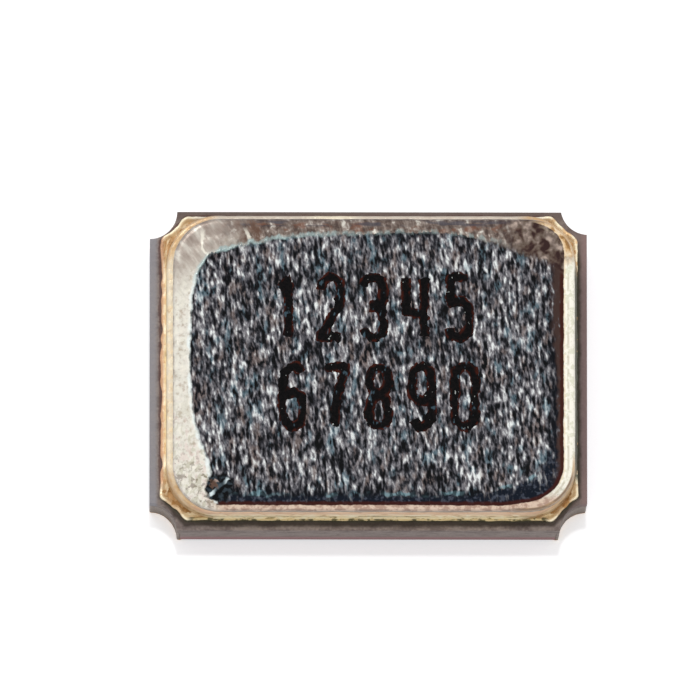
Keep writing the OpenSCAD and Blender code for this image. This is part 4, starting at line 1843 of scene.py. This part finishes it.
@dataclass
class SolderPads:
    """The four plated pads, each with its neck and the plating up its notch."""

    body: Box = field(default_factory=lambda: Box.of("ceramic_base"))
    pad: Box = field(default_factory=lambda: Box.of("terminal_1"))
    inset: tuple[float, float] = (0.08, 0.057)
    size: tuple[float, float] = (0.478, 0.388)
    corner_r: float = 0.015
    thick: float = 0.015
    notch_r: float = 0.1
    plating: float = 0.012
    neck: tuple[tuple[float, float], ...] = (
        (0.0, 0.0), (0.117, 0.0), (0.174, 0.057), (0.174, 0.149), (0.08, 0.149), (0.057, 0.112), (0.0, 0.106),
    )
    spin_start: float = 0.0005
    voxel: float = 0.0045
    grains: tuple[Wave, ...] = (Wave(0.0011, 55), Wave(0.0006, 110))
    grain_seed: float = 3.7

    def first(self) -> Piece:
        """Models the pad at the corner of least X and Y.

        Returns:
            The pad.
        """
        corner = Vector((self.body.low.x, self.body.low.y))
        start = corner + Vector(self.inset)
        pad = Bench.block((start.x, start.y, 0), (start.x + self.size[0], start.y + self.size[1], self.thick))
        Bench.round_uprights(pad, self.corner_r, 4)
        Bench.clear()
        bpy.ops.mesh.primitive_circle_add(vertices=len(self.neck), fill_type="NGON")
        neck = bpy.context.object
        for vertex, (x, y) in zip(neck.data.vertices, self.neck):
            vertex.co = (corner.x + x, corner.y + y, 0)
        bpy.ops.object.mode_set(mode="EDIT")
        bpy.ops.mesh.select_all(action="SELECT")
        bpy.ops.mesh.extrude_region_move(TRANSFORM_OT_translate={"value": (0, 0, self.thick)})
        Bench.outwards()
        Bench.weld(pad, [neck])
        Bench.cut(pad, [Bench.rod(corner.x, corner.y, -self.notch_r, self.notch_r, self.notch_r)])
        wall = Bench.block(
            (corner.x + self.notch_r, corner.y - self.spin_start, 0),
            (corner.x + self.notch_r + self.plating, corner.y, self.pad.high.z),
        )
        Bench.faces(wall, lambda at, normal: normal.y > 0.9)
        bpy.ops.mesh.spin(steps=24, angle=math.pi / 2, center=(corner.x, corner.y, 0), axis=(0, 0, -1))
        Bench.outwards(merged=1e-5)
        Bench.weld(pad, [wall])
        return pad

    def dress(self) -> None:
        """Copies the first pad to every corner and lets the paste's grains swell each one."""
        finish = PlatingFinish(dull_from=0.017).build()
        master = self.first()
        Bench.shape(master, "REMESH", mode="VOXEL", voxel_size=self.voxel, adaptivity=0.0)
        for number, (sx, sy) in enumerate(((1, 1), (-1, 1), (-1, -1), (1, -1)), start=1):
            pad = master.copy()
            pad.data = master.data.copy()
            bpy.context.scene.collection.objects.link(pad)
            Bench.hold(pad)
            pad.scale = (sx, sy, 1)
            Bench.fix()
            bpy.ops.object.mode_set(mode="EDIT")
            Bench.outwards()
            seed = number * self.grain_seed
            Bench.push(pad, lambda at, normal: normal * sum(wave.at(at, seed) for wave in self.grains))
            Bench.settle(pad, f"solder_pad_{number}", Slot.GOLD, finish, 60)
            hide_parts(f"terminal_{number}")
        bpy.data.objects.remove(master, do_unlink=True)


@dataclass
class BrazedSeal:
    """The plated frame on the walls, the braze on it and the ring that it holds."""

    frame: Box = field(default_factory=lambda: Box.of("seal_metallisation"))
    braze: Box = field(default_factory=lambda: Box.of("braze_joint"))
    ring: Box = field(default_factory=lambda: Box.of("seal_ring"))
    cut: tuple[float, float] = SEAL_CUT
    cavity: RoundOutline = CAVITY
    parts: Divisions = Divisions()
    passes: int = 4

    lip_left: float = 0.0055
    lip_else: float = 0.0012
    lip_corner: float = 0.0085
    lip_front_share: float = 0.4
    retreat_left: float = 0.003
    edge_waves: tuple[Wave, ...] = (Wave(0.0022, 22, 1.3), Wave(0.0014, 60, 4.1))
    cut_wave: Wave = Wave(0.0035, 34, 5.2)
    left_wave: Wave = Wave(0.007, 24, 6.6)
    lump_base: float = 0.35
    lump_waves: tuple[Wave, ...] = (Wave(0.6, 30, 8.2), Wave(0.5, 62, 2.7))
    bead_reach: float = 0.05
    bead_base: float = 0.6
    bead_wave: Wave = Wave(0.8, 26, 12.5)
    bead_out: float = 0.007
    bead_up: float = 1.4
    corner_from: float = -0.20
    corner_fade: float = 0.07
    lip_profile: tuple[tuple[float, float, float, float], ...] = (
        (0.001, 0.0, 0.0, 0.0), (0.0, 0.6, 0.0, 0.0), (0.0004, 0.95, 0.45, 0.2), (0.002, 1.0, 0.85, 0.4),
        (0.005, 1.0, 1.0, 0.6), (0.010, 1.0, 0.95, 0.95), (0.015, 1.0, 0.55, 1.0), (0.019, 1.0, 0.15, 0.6),
        (0.022, 1.0, 0.0, 0.2),
    )

    foot: float = 0.005
    foot_hollow: tuple[tuple[float, float], ...] = ((1.0, 0.0), (0.55, 0.16), (0.25, 0.42), (0.08, 0.75), (0.0, 1.0))
    foot_waves: tuple[Wave, ...] = (Wave(0.0022, 26, 6.0), Wave(0.0012, 70, 2.0))
    foot_wave_share: float = 0.8
    climb_wave: Wave = Wave(0.5, 12, 9.0)
    foot_off: float = 0.0003
    bed_in: float = 0.0002

    ring_r: float = 0.185
    ring_w: float = 0.13
    ring_edge_r: float = 0.012
    ring_inner_edge: float = 0.004
    ring_turns: tuple[float, ...] = (22, 45, 68, 90)
    etching: Wave = Wave(0.0011, 18, 3.0)
    etched_in: float = 0.1
    etched_up: float = 0.04
    ring_waist: float = 0.35

    def lip_at(self, s: Station, tips: Sequence[Vector]) -> tuple[float, float, float]:
        """Works out how the frame's lip stands at a place of its outline.

        Args:
            s: The place.
            tips: The outline's eight tips, where the braze stands in beads.

        Returns:
            How far the edge runs out, how high the lip stands, and how much of its height moves inwards.
        """
        bead = max(0.0, 1 - min((s.at - tip).length for tip in tips) / self.bead_reach)
        bead = max(0.0, bead * (self.bead_base + self.bead_wave.at(s.at)))
        edge = sum(wave.at(s.at) for wave in self.edge_waves) + self.bead_out * bead
        on_cut = abs(s.out.x * s.out.y) > 0.01
        if on_cut:
            edge += self.cut_wave.at(s.at)
        half, middle = self.frame.size / 2, self.frame.middle
        away = (abs(s.at.x - middle.x) - half.x) + (abs(s.at.y - middle.y) - half.y)
        near = max(0.0, min(1.0, (away - self.corner_from) / self.corner_fade))
        left = s.out.x < -0.9
        if left:
            edge += (1 - near) * (self.left_wave.at(s.at) - self.retreat_left)
        lump = max(0.0, sum((wave.at(s.at) for wave in self.lump_waves), self.lump_base))
        side = self.lip_left if left else self.lip_else
        rim = self.lip_corner * (1.0 if s.at.y > 0 or not on_cut else self.lip_front_share)
        swell = side * (0.5 + lump) * (1 - near) + rim * (0.45 + 1.3 * lump) * near
        return edge, swell + self.bead_up * self.lip_corner * bead, (1 - near) if left else 0.0

    def plated_frame(self) -> Piece:
        """Models the plated frame, with a lumpy lip along its outer edge that swells at the corners.

        Returns:
            The frame.
        """
        outer = CutOutline(self.frame.middle, self.frame.size.x, self.frame.size.y, Vector(self.cut))
        low, high = self.frame.low.z, self.frame.high.z
        tips = [s.at for s in outer.stations(Divisions(1, 1, 1))]
        lips = [self.lip_at(s, tips) for s in outer.stations(self.parts, self.passes)]
        loops = [
            [
                s.moved(edge, low + (high - low) * up + lip * (top + (top_left - top) * inwards))
                for s, (edge, lip, inwards) in zip(outer.inset(by).stations(self.parts, self.passes), lips)
            ]
            for by, up, top, top_left in self.lip_profile
        ]
        loops += [[s.moved(0.0, z) for s in self.cavity.stations(self.parts)] for z in (high, low)]
        return lofted(loops)

    def braze_fillet(self) -> Piece:
        """Models the braze: a thin bed under the ring and a hollow fillet up both of its walls.

        Returns:
            The braze.
        """
        stations = self.ring_outline().stations(self.parts)
        low, bed, climb = self.braze.low.z, self.ring.low.z, self.braze.high.z
        run = [sum(wave.at(s.at) for wave in self.foot_waves) * self.foot_wave_share for s in stations]
        rise = [1 + self.climb_wave.at(s.at) for s in stations]
        loops = [
            [
                s.moved(share * (self.foot + r) + self.foot_off, low + (climb - low) * up * k)
                for s, r, k in zip(stations, run, rise)
            ]
            for share, up in self.foot_hollow
        ]
        loops += [[s.moved(out, bed) for s in stations] for out in (-self.bed_in, -self.ring_w + self.bed_in)]
        loops += [
            [s.moved(-self.ring_w - share * self.foot - self.foot_off, low + (climb - low) * up) for s in stations]
            for share, up in reversed(self.foot_hollow)
        ]
        return lofted(loops)

    def ring_outline(self) -> RoundOutline:
        """The ring's outer outline."""
        return RoundOutline(self.ring.middle, self.ring.size.x, self.ring.size.y, self.ring_r)

    def seal_ring(self) -> Piece:
        """Models the ring, with its etched wall a little uneven and its upper edges round.

        Returns:
            The ring.
        """
        low, high, r, edge = self.ring.low.z, self.ring.high.z, self.ring_edge_r, self.ring_inner_edge
        profile = [(0.0, low), (0.0, low + self.ring_waist * (high - low)), (0.0, high - r)]
        turns = [math.radians(turn) for turn in self.ring_turns]
        profile += [(-r * (1 - math.cos(a)), high - r + r * math.sin(a)) for a in turns]
        profile += [(-self.ring_w + edge, high), (-self.ring_w, high - edge), (-self.ring_w, low)]
        stations = self.ring_outline().stations(self.parts)
        loops = []
        for out, z in profile:
            etched = out > -self.etched_in and z > low + self.etched_up
            loops.append([s.moved(out + (self.etching.at(s.at, z) if etched else 0.0), z) for s in stations])
        return lofted(loops)

    def dress(self) -> None:
        """Makes the three pieces and puts them in the CAD nodes' places."""
        # The right tones of both walls are painted shade for their right side.
        flowed = WallFinish(
            name="flowed_braze", mid=Tone(252, 234, 190), bright=Tone(255, 246, 214), deep=Tone(176, 156, 108),
            back=Tone(196, 176, 152), side=Tone(248, 228, 190), corner=Tone(168, 132, 90),
            right=Tone(104, 102, 92), upper=Tone(252, 234, 190), top_z=self.braze.high.z,
        )
        flash = WallFinish(
            name="ring_flash", mid=Tone(250, 226, 186), bright=Tone(254, 244, 216), deep=Tone(204, 174, 134),
            back=Tone(194, 183, 173), side=Tone(230, 217, 194), corner=Tone(204, 170, 128),
            right=Tone(116, 114, 104), upper=Tone(212, 172, 142), top_z=self.ring.high.z - self.ring_edge_r / 2,
        )
        plating = FrameFinish(SealOutline(self.frame, self.cut))
        for piece, name, node, slot, finish, smooth in (
            (self.plated_frame(), "plated_frame", "seal_metallisation", Slot.GOLD, plating, 60),
            (self.braze_fillet(), "braze_fillet", "braze_joint", Slot.BRAZE, flowed, 60),
            (self.seal_ring(), "etched_seal_ring", "seal_ring", Slot.RING, flash, 50),
        ):
            Bench.settle(piece, name, slot, finish.build(), smooth)
            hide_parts(node)


@dataclass
class WeldedLid:
    """The rolled lid with its melted shoulder and the track that the weld wheels left."""

    box: Box = field(default_factory=lambda: Box.of("lid"))
    corner_r: float = 0.17
    shoulder_r: float = 0.02
    track_drop: float = 0.004
    track_w: float = 0.04
    slope_w: float = 0.02
    voxel: float = 0.0068
    passes: int = 4
    melted_w: float = 0.03
    melted: tuple[Wave, ...] = (Wave(0.0014, 16, 5.0), Wave(0.0008, 45, 7.0))
    rolled: Wave = Wave(0.0010, (60, 20, 1), 2.0)
    welded: Wave = Wave(0.0012, 24, 11.0)
    rolled_from: float = 0.05
    rolled_fade: float = 0.06

    def build(self) -> Piece:
        """Shapes the lid out of a block and gives it its unevenness.

        Returns:
            The lid.
        """
        low, high = self.box.low, self.box.high
        top = high.z - self.track_drop
        lid = Bench.block(low, (high.x, high.y, top))
        Bench.round_uprights(lid, self.corner_r, 20)
        Bench.edges(lid, lambda a, b: min(a.z, b.z) > top - 1e-5)
        bpy.ops.mesh.bevel(offset=self.shoulder_r, segments=5, affect="EDGES")
        Bench.faces(lid, lambda at, normal: normal.z > 0.99 and at.z > top - 1e-5)
        bpy.ops.mesh.inset(thickness=self.track_w)
        bpy.ops.mesh.inset(thickness=self.slope_w)
        bpy.ops.transform.translate(value=(0, 0, self.track_drop))
        Bench.clear()
        Bench.shape(lid, "REMESH", mode="VOXEL", voxel_size=self.voxel, adaptivity=0.0)
        Bench.shape(lid, "SMOOTH", factor=0.5, iterations=self.passes)
        Bench.push(lid, self.uneven)
        return lid

    def uneven(self, at: Vector, normal: Vector) -> Vector:
        """Gives the small move of a point of the lid: melted edge, weld spots and rolled streaks.

        Args:
            at: The point.
            normal: The direction that looks out of the lid there.

        Returns:
            The move.
        """
        middle, half = self.box.middle, self.box.size / 2
        into = min(half.x - abs(at.x - middle.x), half.y - abs(at.y - middle.y))
        move = Vector((0, 0, 0))
        if into < self.melted_w:
            move += Vector((normal.x, normal.y, 0)) * sum(wave.at(at) for wave in self.melted)
        if normal.z > 0.3:
            share = max(0.0, min(1.0, (into - self.rolled_from) / self.rolled_fade))
            move.z += share * self.rolled.at(at) + (1 - share) * self.welded.at(at)
        return move

    def dress(self) -> None:
        """Makes the lid and puts it in the CAD node's place."""
        lid = self.build()
        Bench.settle(lid, "welded_lid", Slot.LID, LidFinish().build(), 60)
        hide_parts("lid")


@dataclass
class Marking:
    """Two rows of plain digits, burnt into the lid by a laser."""

    lid: Box = field(default_factory=lambda: Box.of("lid"))
    rows: tuple[str, ...] = ("12345", "67890")
    centres: tuple[tuple[float, float], ...] = ((0.0155, 0.207), (0.0355, -0.1205))
    pitch: float = 0.157
    glyph: tuple[float, float] = (0.117, 0.262)
    stroke: float = 0.043
    step: float = 0.08
    thick: float = 0.0022
    voxel: float = 0.005
    sunk: float = 0.0012
    strokes: dict[str, tuple[tuple[tuple[float, float], ...], ...]] = field(default_factory=lambda: {
        "1": (((0.15, 0.8), (0.55, 1), (0.55, 0)),),
        "2": (((0, 0.8), (0.1, 0.94), (0.35, 1), (0.65, 1), (0.9, 0.93), (1, 0.78), (1, 0.64),
               (0.85, 0.48), (0, 0), (1, 0)),),
        "3": (((0, 0.86), (0.15, 0.96), (0.4, 1), (0.65, 1), (0.92, 0.93), (1, 0.78), (1, 0.66),
               (0.88, 0.56), (0.6, 0.52),
               (0.3, 0.52)),
              ((0.6, 0.52), (0.9, 0.47), (1, 0.34), (1, 0.2), (0.9, 0.06), (0.62, 0), (0.35, 0),
               (0.12, 0.04), (0, 0.15))),
        "4": (((-0.02, 1), (-0.02, 0.42), (1.0, 0.42)), ((0.9, 1), (0.9, 0))),
        "5": (((0.95, 1), (0.06, 1), (0.03, 0.56), (0.3, 0.62), (0.62, 0.62), (0.9, 0.54), (1, 0.38),
               (1, 0.22), (0.9, 0.06),
               (0.62, 0), (0.35, 0), (0.1, 0.05), (0, 0.16)),),
        "6": (((0.92, 0.9), (0.7, 1), (0.4, 1), (0.12, 0.9), (0, 0.7), (0, 0.25), (0.1, 0.07),
               (0.38, 0), (0.62, 0), (0.9, 0.07),
               (1, 0.22), (1, 0.36), (0.9, 0.5), (0.62, 0.57), (0.35, 0.57), (0.1, 0.48), (0, 0.38)),),
        "7": (((0, 1), (1, 1), (0.55, 0.5), (0.4, 0)),),
        "8": (((0.5, 0.53), (0.12, 0.62), (0.02, 0.78), (0.14, 0.94), (0.5, 1), (0.86, 0.94),
               (0.98, 0.78), (0.88, 0.62),
               (0.5, 0.53), (0.1, 0.44), (0, 0.24), (0.12, 0.06), (0.5, 0), (0.88, 0.06), (1, 0.24),
               (0.9, 0.44), (0.5, 0.53)),),
        "9": (((0.08, 0.1), (0.3, 0), (0.6, 0), (0.88, 0.1), (1, 0.3), (1, 0.75), (0.9, 0.93),
               (0.62, 1), (0.38, 1), (0.1, 0.93),
               (0, 0.78), (0, 0.64), (0.1, 0.5), (0.38, 0.43), (0.65, 0.43), (0.9, 0.52), (1, 0.62)),),
        "0": (((0, 0.75), (0.1, 0.93), (0.38, 1), (0.62, 1), (0.9, 0.93), (1, 0.75), (1, 0.25),
               (0.9, 0.07), (0.62, 0), (0.38, 0),
               (0.1, 0.07), (0, 0.25), (0, 0.75)),),
    })

    def spread(self, stroke: Sequence[tuple[float, float]]) -> list[tuple[float, float]]:
        """Adds points along a stroke, so that its tube is thinned by a sharp bend only near the bend.

        Args:
            stroke: The stroke's corners.

        Returns:
            Its points.
        """
        result = [stroke[0]]
        for (u0, v0), (u1, v1) in zip(stroke, stroke[1:]):
            count = max(1, round(math.dist((u0, v0), (u1, v1)) / self.step))
            result += [(u0 + (u1 - u0) * i / count, v0 + (v1 - v0) * i / count) for i in range(1, count + 1)]
        return result

    def digit(self, name: str, middle: Vector) -> Piece:
        """Draws one digit as tubes along its strokes.

        Args:
            name: Which digit.
            middle: Middle of the digit on the lid.

        Returns:
            The mesh of its tubes.
        """
        width, height = (side - self.stroke for side in self.glyph)
        line = bpy.data.curves.new("digit_" + name, "CURVE")
        line.dimensions = "3D"
        line.bevel_depth = self.stroke / 2
        line.bevel_resolution = 5
        line.use_fill_caps = True
        for stroke in map(self.spread, self.strokes[name]):
            path = line.splines.new("POLY")
            path.points.add(len(stroke) - 1)
            for point, (u, v) in zip(path.points, stroke):
                point.co = (middle.x + (u - 0.5) * width, middle.y + (v - 0.5) * height, 0, 1)
        tube = bpy.data.objects.new("digit_" + name, line)
        bpy.context.scene.collection.objects.link(tube)
        Bench.hold(tube)
        bpy.ops.object.convert(target="MESH")
        return bpy.context.object

    def row(self, text: str, centre: tuple[float, float]) -> Piece:
        """Joins the digits of a row, melts their strokes together and flattens them on the lid.

        Args:
            text: The digits.
            centre: Middle of the row.

        Returns:
            The row.
        """
        tubes = [
            self.digit(c, Vector((centre[0] + (i - (len(text) - 1) / 2) * self.pitch, centre[1], 0)))
            for i, c in enumerate(text)
        ]
        Bench.hold(tubes[0])
        for tube in tubes[1:]:
            tube.select_set(True)
        bpy.ops.object.join()
        marks = bpy.context.object
        Bench.shape(marks, "REMESH", mode="VOXEL", voxel_size=self.voxel, adaptivity=0.0)
        top, radius = self.lid.high.z - self.sunk, self.stroke / 2

        def flatten(at: Vector, normal: Vector) -> Vector:
            """Gives the move that makes a thin plate with ragged edges of the tubes."""
            rag = Vector((Bench.ripple(at, 42, 3.0), Bench.ripple(at, 42, 17.0), 0)) * 0.007
            rag += Vector((Bench.ripple(at, 95, 31.0), Bench.ripple(at, 95, 37.0), 0)) * 0.004
            height = top + self.thick * max(-1.0, min(1.0, 1.1 * at.z / radius))
            return rag + Vector((0, 0, height - at.z))

        Bench.push(marks, flatten)
        return marks

    def dress(self) -> None:
        """Makes both rows."""
        finish = MarkFinish().build()
        for number, (text, centre) in enumerate(zip(self.rows, self.centres), start=1):
            Bench.settle(self.row(text, centre), f"marking_row_{number}", Slot.LID, finish, 60)


@dataclass
class HiddenParts:
    """The pieces inside, whose CAD shapes are right and only take a finish."""

    gold: tuple[str, ...] = ("floor_tracks", "crystal_pad_1", "crystal_pad_2", "stud_bumps")
    tungsten: tuple[str, ...] = ("terminal_vias", "ring_via", "crystal_vias")
    films: tuple[str, ...] = ("electrode_top", "electrode_bottom")
    adhesive: tuple[str, ...] = ("mount_adhesive_1", "mount_adhesive_2")

    def dress(self) -> None:
        """Gives every inner CAD node its material."""
        film = PlatingFinish(
            "evaporated_film", Tone(224, 202, 138), Tone(244, 230, 180), Tone(198, 172, 104),
            140.0, 0.22, 0.0006,
        )
        inner_gold = PlatingFinish("inner_gold")
        for nodes, finish in (
            (self.gold, inner_gold.build()), (self.tungsten, TungstenFinish().build()),
            (self.films, film.build()), (self.adhesive, AdhesiveFinish().build()),
            (("quartz_blank",), QuartzFinish().build()), (("oscillator_ic",), SiliconFinish().build()),
        ):
            for node in nodes:
                for place in frame["nodes"][node].material_slots:
                    place.material = finish
                log.info("%s: %s", node, finish.name)


@dataclass
class Studio:
    """Plain pale floor, soft light and the camera of the photograph."""

    picture_px: int = 700
    px_per_mm: float = 272.3
    lens: float = 1000.0
    sensor: float = 36.0
    toward: tuple[float, float, float] = (-0.0116, -0.13, 0.9914)
    origin_px: tuple[float, float] = (367.4, 381.3)
    floor_half: float = 0.15

    def camera(self) -> None:
        """Sets the camera so that the origin falls on its place in the picture."""
        toward = Vector(self.toward).normalized()
        right = Vector((0, 1, 0)).cross(toward).normalized()
        up = toward.cross(right)
        view_mm = self.picture_px / self.px_per_mm
        distance = view_mm * self.lens / self.sensor
        across = (self.origin_px[0] - self.picture_px / 2) / self.px_per_mm
        down = (self.origin_px[1] - self.picture_px / 2) / self.px_per_mm
        aim = up * down - right * across
        data = bpy.data.cameras.new("camera")
        data.lens, data.sensor_width = self.lens, self.sensor
        data.clip_start, data.clip_end = 0.001, 10.0
        camera = bpy.data.objects.new("camera", data)
        bpy.context.scene.collection.objects.link(camera)
        camera.rotation_mode = "QUATERNION"
        camera.rotation_quaternion = Matrix((right, up, toward)).transposed().to_quaternion()
        camera.location = (aim + toward * distance) * MM
        bpy.context.scene.camera = camera

    def floor(self) -> None:
        """Lays a white floor that keeps the part's shadow."""
        Bench.clear()
        bpy.ops.mesh.primitive_plane_add(size=2 * self.floor_half, location=(0, 0, -0.000002))
        floor = Bench.fix()
        floor.name = "floor"
        p = Pattern("white_floor")
        p.surface(Base_Color=Tone(236, 236, 238), Roughness=0.9)
        glow = p.nodes.new("ShaderNodeEmission")
        glow.inputs["Color"].default_value = (1, 1, 1, 1)
        both = p.nodes.new("ShaderNodeAddShader")
        rays = p.nodes.new("ShaderNodeLightPath")
        p.feed(glow.inputs["Strength"], p.sum("MULTIPLY", rays.outputs["Is Camera Ray"], 0.405))
        p.links.new(p.shader.outputs["BSDF"], both.inputs[0])
        p.links.new(glow.outputs["Emission"], both.inputs[1])
        p.links.new(both.outputs["Shader"], p.output.inputs["Surface"])
        floor.data.materials.append(p.material)

    def world(self) -> None:
        """Lights everything evenly, and is white for what sees or mirrors it."""
        world = bpy.data.worlds.new("studio")
        bpy.context.scene.world = world
        world.use_nodes = True
        nodes, links = world.node_tree.nodes, world.node_tree.links
        rays = nodes.new("ShaderNodeLightPath")
        seen = nodes.new("ShaderNodeMath")
        seen.operation = "MAXIMUM"
        links.new(rays.outputs["Is Camera Ray"], seen.inputs[0])
        links.new(rays.outputs["Is Glossy Ray"], seen.inputs[1])
        either = nodes.new("ShaderNodeMath")
        either.operation = "MAXIMUM"
        links.new(seen.outputs["Value"], either.inputs[0])
        links.new(rays.outputs["Is Transmission Ray"], either.inputs[1])
        level = nodes.new("ShaderNodeMapRange")
        level.inputs["To Min"].default_value = 0.7
        level.inputs["To Max"].default_value = 1.0
        links.new(either.outputs["Value"], level.inputs["Value"])
        nodes["Background"].inputs["Color"].default_value = (1, 1, 1, 1)
        links.new(level.outputs["Result"], nodes["Background"].inputs["Strength"])

    def lamp(self, name: str, place: Sequence[float], size: float, share: float) -> Piece:
        """Hangs a square soft lamp that points at the part.

        Args:
            name: The lamp's name.
            place: Where it hangs, in metres.
            size: Side of the lamp in metres.
            share: How brightly it lights a white surface that faces it.

        Returns:
            The lamp.
        """
        data = bpy.data.lights.new(name, "AREA")
        data.shape = "SQUARE"
        data.size = size
        away = Vector(place)
        data.energy = share * math.pi ** 2 * away.length_squared
        lamp = bpy.data.objects.new(name, data)
        bpy.context.scene.collection.objects.link(lamp)
        lamp.rotation_mode = "QUATERNION"
        lamp.rotation_quaternion = away.to_track_quat("Z", "Y")
        lamp.location = away
        return lamp

    def build(self) -> None:
        """Sets up the whole studio."""
        self.camera()
        self.floor()
        self.world()
        self.lamp("key_lamp", (-0.04, 0.07, 0.08), 0.04, 0.14)
        top = self.lamp("top_lamp", (0.0, 0.0191, 0.0982), 0.004, 0.24)
        top.visible_glossy = False
        bpy.context.scene.view_settings.view_transform = "Standard"


def main() -> None:
    """Builds the sub-assemblies in order."""
    logging.basicConfig(level=logging.INFO, format="%(name)s: %(message)s")
    Studio().build()
    CeramicTub().dress()
    SolderPads().dress()
    BrazedSeal().dress()
    WeldedLid().dress()
    Marking().dress()
    HiddenParts().dress()


if __name__ == "__main__":
    main()
